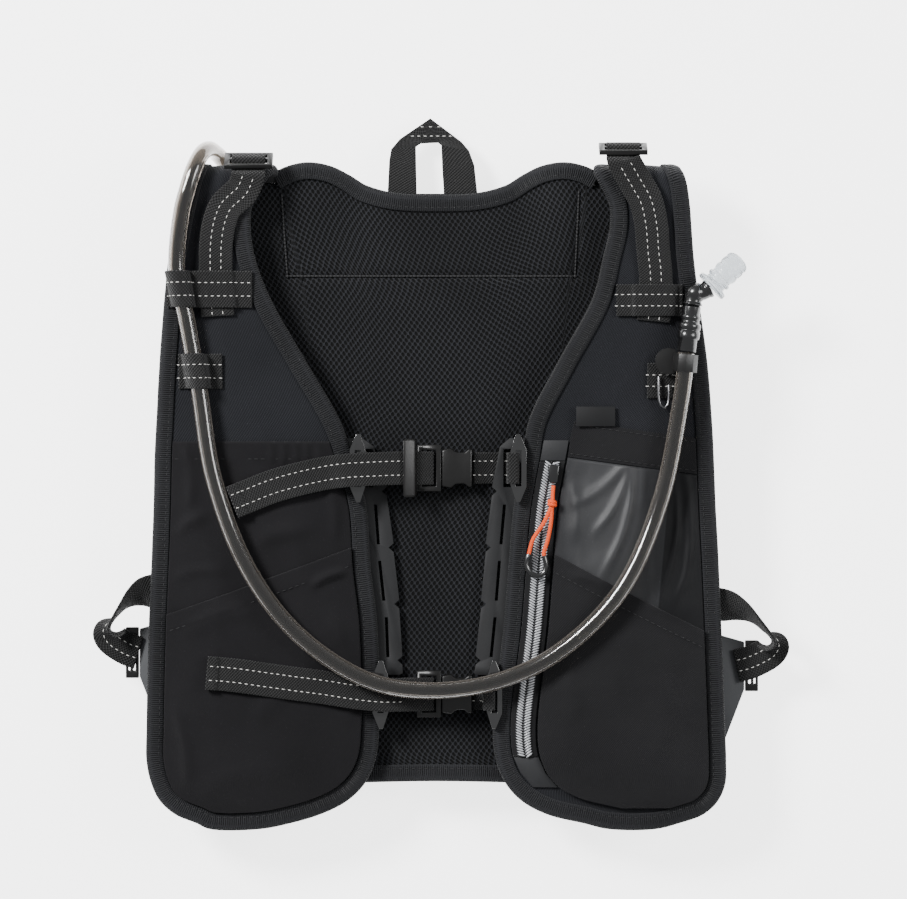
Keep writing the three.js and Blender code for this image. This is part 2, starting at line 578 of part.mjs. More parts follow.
// Side wings of rubbered cloth, their ladder locks, and the side straps that loop from the front panels to them
const wingTop = backUnder - clearance - tapeWall - clearance;
const wingUnder = wingTop - sheetRubber;
const wingRoot = pouchHalfWidth + clearance;
const lockLength = 8;
const lockWidth = 31;
const lockThick = 3;
const wingAt = {
  left: { y: -110, wingReach: 180, reach: 198 },
  right: { y: -118, wingReach: 187, reach: 204 },
};
for (const side of ["left", "right"]) {
  const { sign } = sides[side];
  const { y, wingReach, reach } = wingAt[side];
  const turned = (outline) => outline.map(([px, py]) => [sign * px, py]);
  const wing = [
    [wingRoot, y + 26], [wingReach - 16, y + 19], [wingReach, y + lockWidth / 2 - 1],
    [wingReach, y - lockWidth / 2 + 1], [wingReach - 14, y - 51], [wingRoot, y - 48],
  ];
  piece(`wing_${side}`, flatPiece(turned(wing), sheetRubber, wingUnder), "rubber");
  const lockIn = wingReach + clearance;
  const lockOut = lockIn + lockLength;
  const [low, high] = [y - webWidth / 2 - 1, y + webWidth / 2 + 1];
  const holes = [box(lockIn + 2, lockIn + 3.6, low, high), box(lockIn + 5.2, lockIn + 6.4, low, high)];
  const lockOutline = turned(box(lockIn, lockOut, y - lockWidth / 2, y + lockWidth / 2));
  const lock = flatPiece(lockOutline, lockThick, wingUnder - 0.6, holes.map(turned));
  piece(`wing_lock_${side}`, lock, "plastic");
  // out is a share of the way from the panel's edge to the reach, down one of the way from the start to the lock,
  // drop one from below the panel to above the lock
  const strapRows = [
    { out: -0.6, down: 0, drop: 0, lean: 0.03 }, { out: 0.02, down: 0.03, drop: 0, lean: 0.1 },
    { out: 0.42, down: 0.14, drop: 0.02, lean: 0.33 }, { out: 0.72, down: 0.32, drop: 0.13, lean: 0.55 },
    { out: 0.93, down: 0.52, drop: 0.34, lean: 0.65 }, { out: 1, down: 0.66, drop: 0.58, lean: 0.68 },
    { out: 0.93, down: 0.79, drop: 0.85, lean: 0.68 }, { out: 0.72, down: 0.9, drop: 1, lean: 0.66 },
    { out: 0.4, down: 1.03, drop: 1, lean: 0.55 }, { out: 0.1, down: 1.06, drop: 1, lean: 0.3 },
  ];
  const startY = y + 39;
  const startX = outerEdge(side, startY);
  const belowPanel = panelUnder - clearance - tapeWall - clearance - webThick / 2;
  const overLock = wingUnder - 0.6 + lockThick + clearance + webThick / 2;
  const loop = strapRows.map((row) => ({
    at: [sign * mix(startX, reach, row.out), mix(startY, y, row.down), mix(belowPanel, overLock, row.drop)],
    across: [-sign * row.lean, 1, 0],
  }));
  piece(`side_strap_${side}`, webbing(loop), "webbing");
}

// Ladder strips: rubbered cloth with a scalloped edge and slots, sewn below the inner edge of each front panel
const stripTop = 20;
const stripPitch = 34;
const stripCount = 4;
const stripReach = 16; // past the panel's edge
const stripTuck = 7; // below the panel
const slotLength = 24;
const slotWidth = 1.8;
const notch = 3;
const notchHalf = 1.6;
const wideSlot = 5.6; // where the webbing of the upper toggles comes through
for (const side of ["left", "right"]) {
  const { sign } = sides[side];
  const free = (y) => innerEdge(side, y) - stripReach;
  const bottom = stripTop - stripPitch * (stripCount + 0.2);
  const freeEdge = [[free(stripTop) + 5, stripTop], [free(stripTop - 5), stripTop - 5]];
  for (let i = 1; i <= stripCount; i++) {
    const y = stripTop - stripPitch * i + 2;
    freeEdge.push([free(y), y + notchHalf + 1], [free(y) + notch, y], [free(y), y - notchHalf - 1]);
  }
  freeEdge.push([free(bottom), bottom + 1], [free(bottom) + 2, bottom]);
  const sewn = [];
  for (let i = 0; i <= stripCount; i++) {
    const y = mix(bottom, stripTop, i / stripCount);
    sewn.push([innerEdge(side, y) + stripTuck, y]);
  }
  const holes = [];
  for (let i = 0; i < stripCount; i++) {
    const y = stripTop - stripPitch * (i + 0.5) - 1;
    const width = i === 0 ? wideSlot : slotWidth;
    const x = innerEdge(side, y) - (i === 0 ? 8.8 : 7);
    const lean = (innerEdge(side, y + slotLength / 2) - innerEdge(side, y - slotLength / 2)) / 2;
    const half = i === 0 ? webWidth / 2 + 1.5 : slotLength / 2;
    const tilt = i === 0 ? 0 : lean;
    const [a, b] = [x - width / 2, x + width / 2];
    holes.push([[a - tilt, y - half], [b - tilt, y - half], [b + tilt, y + half], [a + tilt, y + half]]);
  }
  const turned = (outline) => outline.map(([px, py]) => [sign * px, py]);
  const strip = flatPiece(turned([...freeEdge, ...sewn]), sheetRubber, stripUnder, holes.map(turned));
  piece(`ladder_strip_${side}`, strip, "rubber");
}

// Chest straps. Each is held by a toggle in the ladder strip on both sides and closed by a side-release buckle.
const toggleHalf = 20.5;
const toggleThick = 3.5;
const barWidth = 3.2;
const windowWidth = 3.4;
const toggleWidth = 2 * barWidth + windowWidth;
const chest = { upper: { y: 2 }, lower: { y: -134 } };
const webLow = backTop + clearance + webThick / 2;
const toggleX = (side, y) => innerEdge(side, y) - 7.6; // the free side of a toggle's first bar
// The underside of a toggle, over the tape where the panel is highest below it
const overBinding = (side, y) =>
  frontUnder(toggleX(side, y) + toggleWidth, y + toggleHalf) + edgeFoam + tapeWall + 2 * clearance;
function toggleShape(side, y, toggleUnder) {
  const { sign } = sides[side];
  const x = toggleX(side, y);
  const [inner, outer] = [webWidth / 2, webWidth / 2 + 1];
  const [narrow, wide] = [x + toggleWidth * 0.35, x + toggleWidth * 0.6];
  const far = x + toggleWidth;
  const outline = [
    [x, y - inner], [narrow, y - toggleHalf], [wide, y - toggleHalf], [far, y - outer],
    [far, y + outer], [wide, y + toggleHalf], [narrow, y + toggleHalf], [x, y + inner],
  ];
  const hole = box(x + barWidth, x + barWidth + windowWidth, y - webWidth / 2 - 0.8, y + webWidth / 2 + 0.8);
  const turned = (list) => list.map(([px, py]) => [sign * px, py]);
  return flatPiece(turned(outline), toggleThick, toggleUnder, [turned(hole)]);
}
// The webbing from a buckle, below the strip, up through its slot and round the toggle's first bar
function toggleWeb(side, y, toggleUnder, from, fromZ) {
  const { sign } = sides[side];
  const straight = toggleX(side, y) - from < 12;
  const low = straight ? fromZ : webLow;
  const x = toggleX(side, y);
  const over = toggleUnder + toggleThick + clearance + webThick / 2;
  const near = x - clearance - webThick / 2;
  const back = x + barWidth + clearance + webThick / 2 + 0.3;
  const path = [
    [from, fromZ], [mix(from, near, 0.3), mix(fromZ, low, 0.7)], [mix(from, near, 0.62), low],
    [near - 0.6, low + 0.5], [near, low + 4.5], [near, toggleUnder + 1], [near + 0.3, over - 0.5],
    [near + 2.6, over], [x + barWidth + 0.7, over - 0.2], [back, over - 2.4], [back, toggleUnder + 1],
  ];
  return webbing(path.map(([px, pz]) => ({ at: [sign * px, y, pz], across: [0, 1, 0] })), webWidth - 1);
}
const buckleMid = 34.5;
const buckleEnd = 21.8;
for (const level of ["upper", "lower"]) {
  const { y } = chest[level];
  const starts = { left: [12, buckleMid - 3.4], right: [buckleEnd + 0.8, buckleMid] };
  for (const side of ["left", "right"]) {
    const toggleUnder = overBinding(side, y);
    piece(`toggle_${level}_${side}`, toggleShape(side, y, toggleUnder), "plastic");
    piece(`chest_web_${level}_${side}`, toggleWeb(side, y, toggleUnder, ...starts[side]), "webbing");
  }
  // Buckle halves: the frame that the tail is threaded through, and the socket that it snaps into
  const rail = webWidth / 2 + 1;
  const railOut = rail + 3;
  const frameOutline = box(-11.5, 3, y - railOut, y + railOut);
  const frameHole = box(-8.6, 0, y - rail, y + rail);
  const frameLow = buckleMid - 1.2;
  const frame = flatPiece(frameOutline, 4.6, frameLow, [frameHole]);
  const bar = flatPiece(box(-5.6, -3, y - railOut + 1, y + railOut - 1), 1.6, buckleMid - 0.4);
  piece(`buckle_frame_${level}`, joined(frame, bar), "plastic");
  const below = [
    [3 + clearance, -11], [9, -12.2], [12, -9.6], [17, -9.4], [19.5, -11.6], [buckleEnd, -11.6],
  ];
  const above = below.map(([x, dy]) => [x, -dy]).reverse();
  const socket = [...below, ...above].map(([x, dy]) => [x, y + dy]);
  piece(`buckle_socket_${level}`, flatPiece(socket, 7.6, buckleMid - 3.4), "plastic");
}
// The free tails: from the buckle's frame over the left panel. Each row is a place along the tail, with its height
// z, or how far it is clear of the webbing over the toggle, or neither where it lies on the pockets.
const tails = {
  upper: [
    { x: 1.6, dy: 0, z: 36 }, { x: 9, dy: 0, z: 39.6 }, { x: 22, dy: 0, clear: -2.7 },
    { x: 40, dy: -0.6, clear: 1.5 }, { x: 54, dy: -1.4, clear: 1.7 }, { x: 66, dy: -3 }, { x: 82, dy: -6.5 },
    { x: 98, dy: -11 },
    { x: 112, dy: -16.5 }, { x: 122, dy: -20.5 },
  ],
  lower: [
    { x: 1.6, dy: 0, z: 36 }, { x: 9, dy: 0, z: 39.6 }, { x: 20, dy: 0, clear: -1.1 },
    { x: 34, dy: 0.2, clear: 1.9 }, { x: 50, dy: 2, clear: 2.5 }, { x: 66, dy: 4.5 }, { x: 84, dy: 7 },
    { x: 102, dy: 9.5 },
    { x: 120, dy: 12 }, { x: 137, dy: 13.5 },
  ],
};
for (const level of ["upper", "lower"]) {
  const overToggle = overBinding("left", chest[level].y) + toggleThick + clearance + webThick;
  const places = tails[level].map(({ x, dy, z, clear }) => {
    const y = chest[level].y + dy;
    const laidOn = overPockets("left", x, y) + clearance + webThick / 2 + 0.3;
    return [-x, y, z ?? (clear === undefined ? laidOn : overToggle + clear)];
  });
  const path = places.map((at, i) => {
    const [a, b] = [places[Math.max(0, i - 1)], places[Math.min(places.length - 1, i + 1)]];
    return { at, across: [-(b[1] - a[1]), b[0] - a[0], 0] };
  });
  piece(`chest_tail_${level}`, webbing(path), "webbing");
}

// A rod along places, rounded through them
function rod(places, radius, sideCount, steps) {
  const section = new THREE.Shape();
  for (let i = 0; i < sideCount; i++) {
    const angle = (2 * Math.PI * i) / sideCount;
    const [u, v] = [radius * Math.cos(angle), radius * Math.sin(angle)];
    if (i) section.lineTo(u, v);
    else section.moveTo(u, v);
  }
  const extrudePath = new THREE.CatmullRomCurve3(places.map((at) => vec(...at)), false, "centripetal");
  return new THREE.ExtrudeGeometry(section, { steps, bevelEnabled: false, extrudePath });
}

// Shoulder webbing: threaded through a ladder lock that rides on the shoulder fold, then down the panel
const lockBar = 2;
const lockWindow = 3.4;
const lockHalf = 1.5 * lockBar + lockWindow;
// reach is the lock's distance from the fold's middle, lean its angle round the fold. A row is a distance from
// the centre line and one below the start of the fold.
const shoulder = {
  left: {
    lockX: 112, reach: 14.4, lean: 0.85,
    rows: [[116.5, 8], [121, 11.5], [126.6, 16], [131, 26], [133.4, 38], [133.8, 53], [132.6, 67], [131, 81]],
  },
  right: {
    lockX: 112, reach: 20, lean: 1.1,
    rows: [[117.5, -3], [121.5, 3], [125.7, 11], [128.6, 26], [130, 42], [131.5, 56], [131.4, 70], [130.2, 84]],
  },
};
for (const side of ["left", "right"]) {
  const { sign } = sides[side];
  const { lockX, reach, lean, rows } = shoulder[side];
  const along = vec(0, Math.cos(lean), -Math.sin(lean));
  const out = vec(0, Math.sin(lean), Math.cos(lean));
  const middle = vec(sign * lockX, foldY, foldZ).addScaledVector(out, reach);
  const onLock = (t, h) => middle.clone().addScaledVector(along, t).addScaledVector(out, h);
  const windows = [-1, 1].map((end) => {
    const near = end * (lockBar / 2);
    const far = end * (lockBar / 2 + lockWindow);
    return box(-webWidth / 2 - 1, webWidth / 2 + 1, Math.min(near, far), Math.max(near, far));
  });
  const lock = flatPiece(box(-14.5, 14.5, -lockHalf, lockHalf), lockThick, 0, windows);
  lock.applyMatrix4(new THREE.Matrix4().makeBasis(vec(1, 0, 0), along, out).setPosition(middle));
  piece(`shoulder_lock_${side}`, lock, "plastic");
  const gap = clearance + webThick / 2;
  const slot = (lockBar + lockWindow) / 2;
  const threaded = [
    [slot, 1], [slot, lockThick], [slot - 1, lockThick + gap], [0, lockThick + gap + 0.3],
    [1 - slot, lockThick + gap], [-slot, lockThick], [-slot, 1], [-slot - 0.9, -gap - 0.6],
    [-lockHalf - 2, -gap - 1.1],
  ];
  const path = threaded.map(([t, h]) => ({ at: onLock(t, h).toArray(), across: [1, 0, 0] }));
  const lift = (y) => gap + mix(0.3, 2, smooth(foldY - 49, foldY - 24, y)); // it comes down from the lock
  const places = rows.map(([x, below]) => {
    const y = foldY - below;
    return onPanel(side, x, y, foamAt(side, x, y) + lift(y));
  });
  places.forEach((p, i) => {
    const [before, after] = [places[Math.max(0, i - 1)], places[Math.min(places.length - 1, i + 1)]];
    path.push({ at: p.toArray(), across: [before.y - after.y, after.x - before.x, 0] });
  });
  piece(`shoulder_web_${side}`, webbing(path), "webbing");
}

// Keepers: bands of webbing across a front panel, which hold down the shoulder webbing and the hose. Each place
// is a distance from the centre line and a height of the band's middle over the panel's own top.
const keeperSlope = 0.08; // the panels climb this much along a keeper's width
const laid = clearance + fabric / 2;
const overTape = laid + tapeWall + clearance;
const overWeb = laid + webThick + 0.8;
const hoseRadius = 5;
const overHose = hoseRadius + laid + 0.8;
const hoseLift = hoseRadius + clearance + 0.6;
const fittingLift = 10.36; // the middle of the fittings over the right panel
function keeper(name, side, y, width, lean, places) {
  const path = places.map(([x, lift]) => ({
    at: [sides[side].sign * x, y, frontTop(side, x, y) + lift],
    across: [lean, 1, keeperSlope],
  }));
  piece(name, webbing(path, width, fabric), "webbing");
}
// The part of a keeper that goes over the hose, whose middle is at x and at a lift over the panel
function hump(x, lift) {
  const angles = [0, 0.25, 0.5, 0.75, 1].map((share) => Math.PI * share);
  return angles.map((angle) => [x + overHose * Math.cos(angle), lift + overHose * Math.sin(angle)]);
}
keeper("keeper_upper_left", "left", 109, 22, -0.19, [
  [161, overTape + 0.5], [160, overTape + 0.8], ...hump(152.6, hoseLift + 1.2), [145.6, overWeb + 1.6],
  [143, overWeb + 1.4], [133, overWeb + 0.5], [122, overWeb + 0.8], [119.5, overTape], [110, overTape],
]);
keeper("keeper_lower_left", "left", 60, 21, -0.17, [
  [154.4, laid + 0.2], [151.2, laid + 0.4], ...hump(143.6, hoseLift), [135.8, laid + 0.4], [128, laid + 0.2],
]);
keeper("keeper_right", "right", 102.5, 19, 0, [
  [108, overTape], [117, overTape], [119, overWeb + 0.6], [131, overWeb + 0.3], [142, overWeb + 1.4],
  [144.6, overTape], [147.6, overTape],
]);
keeper("clip_tab_right", "right", 54.5, 21, 0, [[126.6, laid + 0.2], [137, laid + 0.2], [147, laid + 0.2]]);

// Blank label on the right panel, over the banded mouth
const labelUnder = Math.max(...[84, 95, 107.4].map((x) => pocketUnder("right", x, 29, 0))) + fabric + clearance;
piece("label_patch", plate(box(84, 107.4, 27, 39), 0.8, labelUnder), "tape");

// Zip slider and its pull: a loop of cord with a rubber end
const zipMiddle = (y) => besideTape(y) + zipTapeWidth / 2;
const overCoil = (y) => frontTop("right", zipMiddle(y), y) + clearance + fabric + coilHeight + clearance;
const sliderY = 4;
const sliderLength = 11;
const sliderEnd = sliderY - sliderLength;
const sliderX = zipMiddle(sliderY) + 1;
const sliderUnder = Math.max(overCoil(sliderY), overCoil(sliderEnd)) + 0.2;
const slider = [[-3.6, sliderY], [-2.4, sliderEnd], [2.4, sliderEnd], [3.6, sliderY]];
piece("zip_slider", plate(slider.map(([x, y]) => [sliderX + x, y]), 2.6, sliderUnder), "wire");
const cordRadius = 1.2;
const pullZ = overCoil(-30) + cordRadius + 2.2;
const knotAt = [69.6, -19, pullZ];
const leg = (places) => solid(rod(places.map(([x, y, drop = 0]) => [x, y, pullZ - drop]), cordRadius, 6, 4));
const knot = new THREE.SphereGeometry(2.7, 7, 5);
knot.translate(...knotAt);
const pullCord = leg([[70.4, -8.6, 1.7], [70, -14, 1], [69.6, -19]])
  .add(leg([[69.6, -19], [65, -30], [58, -41], [56, -48]]))
  .add(leg([[69.6, -19], [69, -30], [67, -41], [64.6, -49]]))
  .add(solid(knot));
piece("pull_cord", geometryOf(pullCord), "cord");
const gripPlaces = [[55.6, -49.4], [54, -56], [57, -61], [61, -62.6], [64.6, -61], [66, -56], [64.8, -50.4]];
piece("pull_grip", rod(gripPlaces.map(([x, y]) => [x, y, pullZ]), 1.8, 6, 10), "rubber");

// Drinking hose: from the reservoir's space in the rear pouch, round the left shoulder, across the chest in one
// sweep and up to its clip on the right panel
const fittingZ = frontTop("right", 149.4, 71) + fittingLift;
const hosePlaces = [
  [-70, 137, 14.3], [-96, 158, 14.4], [-114, 174, 16], [-126, 185, 21], [-132.5, 191.8, 30], [-136.5, 193.6, 41],
  [-140, 190.5, 49.5], [-144, 182, 55.3], [-148.5, 168, 57.2], [-151.8, 155, 56.9], [-154.8, 121, 55.2],
  [-149, 91, 52.8], [-141.6, 49, 50.5], [-132.6, -5, 51.2], [-111.6, -59, 54], [-81.6, -98, 54], [-39.6, -125, 54],
  [-3.6, -131, 51.8], [38.4, -125, 50.6], [74.4, -107, 53], [110.4, -71, 54.4], [134.4, -17, 51.6],
  [146.2, 41, fittingZ - 3.2], [148.4, 58, fittingZ - 0.4], [149.4, 71, fittingZ],
];
piece("hose", rod(hosePlaces, hoseRadius, 10, 44), "tube");

// The clip that holds the hose, its wire, and the connector, shut-off elbow and bite valve at the hose's end
const hoseEnd = hosePlaces[hosePlaces.length - 1];
const clipPlaces = [[148.4, 59.5, fittingZ - 0.2], [149.3, 70, fittingZ]];
const bore = [
  [147.3, 50, fittingZ - 1.4], [148.4, 59, fittingZ - 0.4], [149.4, 71, fittingZ], [149.6, 74, fittingZ],
];
const disc = new THREE.CylinderGeometry(8, 8, 3.4, 14);
disc.rotateX(Math.PI / 2);
disc.translate(139, 66, fittingZ - hoseRadius + 0.2);
const clipBody = solid(rod(clipPlaces, 7.6, 10, 1)).add(solid(disc));
piece("hose_clip", geometryOf(clipBody.subtract(solid(rod(bore, hoseRadius + 1, 10, 5)))), "plastic");
const gatePlaces = [
  [133.4, 57], [133.4, 44], [134.6, 39.6], [136.6, 38], [138.6, 39.6], [139.4, 44], [139.4, 52],
];
piece("clip_wire", rod(gatePlaces.map(([x, y]) => [x, y, fittingZ - 6.2]), 0.9, 6, 12), "wire");
const connectorFoot = [hoseEnd[0] + 0.1, hoseEnd[1] + clearance, fittingZ];
const connectorHead = [153, 99, fittingZ];
const between = (a, b, share) => a.map((value, i) => mix(value, b[i], share));
const onConnector = (share) => between(connectorFoot, connectorHead, share);
const barrel = rod([connectorFoot, connectorHead], 5.6, 12, 1);
const collar = rod([onConnector(0.3), onConnector(0.62)], 6.6, 12, 1);
piece("hose_connector", joined(barrel, collar), "plastic");
const elbowFoot = [153.1, 99.6, fittingZ];
const elbowHead = [154.8, 110.4, fittingZ];
const valveFoot = [163.4, 109.6, fittingZ];
const valveAxis = vec(0.73, 0.683, 0).normalize();
const elbowTurn = vec(...valveFoot).addScaledVector(valveAxis, -9).toArray();
const lowerArm = rod([elbowFoot, elbowHead], 6, 12, 1);
const upperArm = rod([elbowTurn, valveFoot], 5.4, 12, 1);
piece("valve_elbow", joined(lowerArm, upperArm), "plastic");
const valveRings = [
  [0, 0], [9.6, 0], [10, 1.2], [9.6, 3.4], [6.6, 4.2], [6.6, 6], [7.8, 6.6], [7.8, 8.4], [6.6, 9],
  [6.8, 11], [8.2, 12.5], [8.4, 18], [7.6, 22.5], [5, 25.2], [0, 26],
];
const valve = new THREE.LatheGeometry(valveRings.map(([r, along]) => new THREE.Vector2(r, along)), 12);
const valvePlaces = valve.attributes.position;
const valveFlat = 0.42; // how much the mouthpiece is flattened at its tip
for (let i = 0; i < valvePlaces.count; i++)
  valvePlaces.setZ(i, valvePlaces.getZ(i) * (1 - valveFlat * smooth(10, 26, valvePlaces.getY(i))));
valve.applyMatrix4(new THREE.Matrix4().makeBasis(vec(valveAxis.y, -valveAxis.x, 0), valveAxis, vec(0, 0, 1))
  .setPosition(vec(...valveFoot).addScaledVector(valveAxis, clearance)));
piece("bite_valve", valve, "silicone");

// The footprint of the whole vest is centred on the origin
const footprint = new THREE.Box3().setFromObject(vest).getCenter(vec(0, 0, 0));
for (const mesh of vest.children) mesh.geometry.translate(-footprint.x, -footprint.y, 0);

export default vest;
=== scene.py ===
# Looks of a running hydration vest that lies on its back on a pale table, seen from straight above.
import json
import math
import bmesh
import bpy
import numpy as np
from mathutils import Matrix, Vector

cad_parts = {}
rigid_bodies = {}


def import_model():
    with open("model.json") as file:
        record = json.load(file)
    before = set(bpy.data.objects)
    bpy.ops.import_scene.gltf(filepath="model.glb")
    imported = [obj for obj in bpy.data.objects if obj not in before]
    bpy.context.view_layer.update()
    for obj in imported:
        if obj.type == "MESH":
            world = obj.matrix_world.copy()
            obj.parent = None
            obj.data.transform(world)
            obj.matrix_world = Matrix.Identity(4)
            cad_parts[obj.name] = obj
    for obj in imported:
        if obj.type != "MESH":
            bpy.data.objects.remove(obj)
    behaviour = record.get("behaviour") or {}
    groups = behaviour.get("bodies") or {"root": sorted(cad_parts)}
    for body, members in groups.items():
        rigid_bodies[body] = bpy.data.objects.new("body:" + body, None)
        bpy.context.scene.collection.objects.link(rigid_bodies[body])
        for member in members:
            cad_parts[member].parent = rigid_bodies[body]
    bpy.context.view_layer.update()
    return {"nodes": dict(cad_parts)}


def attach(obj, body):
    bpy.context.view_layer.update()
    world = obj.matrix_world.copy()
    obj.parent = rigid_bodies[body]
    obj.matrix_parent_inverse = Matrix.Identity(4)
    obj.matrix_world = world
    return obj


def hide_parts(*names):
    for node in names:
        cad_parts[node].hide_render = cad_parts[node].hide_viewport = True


for leftover in list(bpy.data.objects):
    bpy.data.objects.remove(leftover)
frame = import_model()


# Table top, studio light and camera
# A pale matt table that glows a little, a soft light at the upper left, a weaker one at the right, a white
# surround. The camera looks straight down with a long lens, as the photograph was taken.
scene = bpy.context.scene


def plain_node_material(name, color, roughness):
    material = bpy.data.materials.new(name)
    material.use_nodes = True
    shader = material.node_tree.nodes["Principled BSDF"]
    shader.inputs["Base Color"].default_value = (*color, 1)
    shader.inputs["Roughness"].default_value = roughness
    return material, material.node_tree, shader


def where(tree, kind="Object"):
    """Places on the piece, or in its UV map."""
    return tree.nodes.new("ShaderNodeTexCoord").outputs[kind]


def noise(tree, place, scale, detail=2):
    node = tree.nodes.new("ShaderNodeTexNoise")
    node.inputs["Scale"].default_value = scale
    node.inputs["Detail"].default_value = detail
    tree.links.new(place, node.inputs["Vector"])
    return node.outputs["Fac"]


def join(tree, *pairs):
    for start, end in pairs:
        tree.links.new(start, end)


def scaled_range(tree, source, low, high, source_range=(0, 1)):
    node = tree.nodes.new("ShaderNodeMapRange")
    node.inputs["From Min"].default_value, node.inputs["From Max"].default_value = source_range
    node.inputs["To Min"].default_value = low
    node.inputs["To Max"].default_value = high
    tree.links.new(source, node.inputs["Value"])
    return node.outputs["Result"]


def mixed(tree, factor, low, high):
    """A colour between two, each a colour or an output."""
    node = tree.nodes.new("ShaderNodeMix")
    node.data_type = "RGBA"
    for socket, value in (("A", low), ("B", high)):
        if isinstance(value, tuple):
            node.inputs[socket].default_value = (*value, 1)
        else:
            tree.links.new(value, node.inputs[socket])
    if isinstance(factor, float):
        node.inputs["Factor"].default_value = factor
    else:
        tree.links.new(factor, node.inputs["Factor"])
    return node.outputs["Result"]


table_material, table_tree, table_shader = plain_node_material("Pale table", (0.9, 0.9, 0.905), 0.8)
table_shader.inputs["Emission Color"].default_value = (1, 1, 1, 1)
table_shader.inputs["Emission Strength"].default_value = 3
table_noise = noise(table_tree, where(table_tree), 6)
table_tree.links.new(scaled_range(table_tree, table_noise, 0.74, 0.86), table_shader.inputs["Roughness"])
bpy.ops.mesh.primitive_plane_add(size=9, location=(0, 0, -0.0003))
table = bpy.context.object
table.name = "table_top"
table.data.materials.append(table_material)

world = bpy.data.worlds.new("White surround")
world.use_nodes = True
world.node_tree.nodes["Background"].inputs["Color"].default_value = (0.97, 0.985, 1, 1)
world.node_tree.nodes["Background"].inputs["Strength"].default_value = 0.62
scene.world = world


def soft_light(name, place, size, power, target=(0, 0, 0)):
    data = bpy.data.lights.new(name, "AREA")
    data.shape = "DISK"
    data.size = size
    data.energy = power
    light = bpy.data.objects.new(name, data)
    light.location = place
    light.rotation_euler = (Vector(target) - Vector(place)).to_track_quat("-Z", "Y").to_euler()
    scene.collection.objects.link(light)


soft_light("Window light", (-1.25, 0.95, 1.35), 0.6, 85)
soft_light("Fill light", (1.3, 0.35, 1.1), 0.7, 16)

camera = bpy.data.objects.new("Camera", bpy.data.cameras.new("Camera"))
camera.location = (0.0075, 0.01345, 2.245)
camera.data.sensor_width = 36
camera.data.lens = 145.6
scene.collection.objects.link(camera)
scene.camera = camera


# Drinking hose
# Smoky clear tube, 10 mm outside and 6.2 mm inside. It leaves the mouth of the rear pouch, turns up round
# the left shoulder, passes under two keepers, hangs in one sweep across the chest, runs through its clip on
# the right and ends in the connector.
def smooth_line(points, step):
    """Places along a centripetal curve through the points, about step apart."""
    points = np.asarray(points, float)
    around = [2 * points[0] - points[1], *points, 2 * points[-1] - points[-2]]
    line = []
    for a, b, c, d in zip(around, around[1:], around[2:], around[3:]):
        gaps = [max(1e-9, np.linalg.norm(q - p)) ** 0.5 for p, q in ((a, b), (b, c), (c, d))]
        k0, k1, k2, k3 = 0, gaps[0], gaps[0] + gaps[1], sum(gaps)
        count = max(1, math.ceil(np.linalg.norm(c - b) / step))
        for t in k1 + (k2 - k1) * np.arange(count) / count:
            ab = ((k1 - t) * a + (t - k0) * b) / (k1 - k0)
            bc = ((k2 - t) * b + (t - k1) * c) / (k2 - k1)
            cd = ((k3 - t) * c + (t - k2) * d) / (k3 - k2)
            abc = ((k2 - t) * ab + (t - k0) * bc) / (k2 - k0)
            bcd = ((k3 - t) * bc + (t - k1) * cd) / (k3 - k1)
            line.append(((k2 - t) * abc + (t - k1) * bcd) / (k2 - k1))
    line.append(points[-1])
    return np.array(line)


def unit(vectors):
    vectors = np.asarray(vectors, float)
    return vectors / np.maximum(np.linalg.norm(vectors, axis=-1, keepdims=True), 1e-12)


def run_along(line):
    """Length of the line up to each of its points."""
    return np.concatenate([[0], np.cumsum(np.linalg.norm(np.diff(line, axis=0), axis=1))])


def carried_frames(line, first):
    """Two directions across the line in each place, carried along it without twist."""
    tangents = unit(np.gradient(line, axis=0))
    sides = []
    side = np.asarray(first, float)
    for tangent in tangents:
        side = unit(side - np.dot(side, tangent) * tangent)
        sides.append(side)
    sides = np.array(sides)
    return sides, np.cross(tangents, sides)


def loft(name, rings, caps=True, closed=False):
    """A mesh through closed rings of points, in metres, with a UV map in metres round and along it."""
    rings = np.asarray(rings, float)
    rows, count = rings.shape[:2]
    around = np.linalg.norm(np.roll(rings, -1, axis=1) - rings, axis=2)
    u = np.concatenate([np.zeros((rows, 1)), np.cumsum(around, axis=1)], axis=1)
    steps = np.linalg.norm(np.diff(rings, axis=0), axis=2).mean(axis=1)
    v = np.concatenate([[0], np.cumsum(steps)])
    faces = []
    corners = []
    for i in range(rows if closed else rows - 1):
        j = (i + 1) % rows
        for k in range(count):
            m = (k + 1) % count
            faces.append((i * count + k, i * count + m, j * count + m, j * count + k))
            top = v[i + 1] if i + 1 < rows else v[i]
            corners += [(u[i, k], v[i]), (u[i, k + 1], v[i]), (u[j, k + 1], top), (u[j, k], top)]
    sides = len(faces)
    if caps and not closed:
        for ring, order in ((0, range(count - 1, -1, -1)), (rows - 1, range(count))):
            faces.append(tuple(ring * count + k for k in order))
            corners += [(u[ring, k], v[ring]) for k in order]
    points = rings.reshape(-1, 3)
    a, b, c, d = (points[[face[n] for face in faces[:sides]]] for n in range(4))
    middle = points.mean(axis=0)
    volume = sum(np.einsum("ij,ij->i", p - middle, np.cross(q - middle, r - middle)).sum()
                 for p, q, r in ((a, b, c), (a, c, d)))
    mesh = bpy.data.meshes.new(name)
    mesh.from_pydata(points.tolist(), [], faces)
    layer = mesh.uv_layers.new(name="Cloth")
    layer.data.foreach_set("uv", np.array(corners, np.float32).ravel())
    mesh.polygons.foreach_set("use_smooth", [k < sides for k in range(len(faces))])
    if volume < 0:
        mesh.flip_normals()
    made = bpy.data.objects.new(name, mesh)
    scene.collection.objects.link(made)
    return made


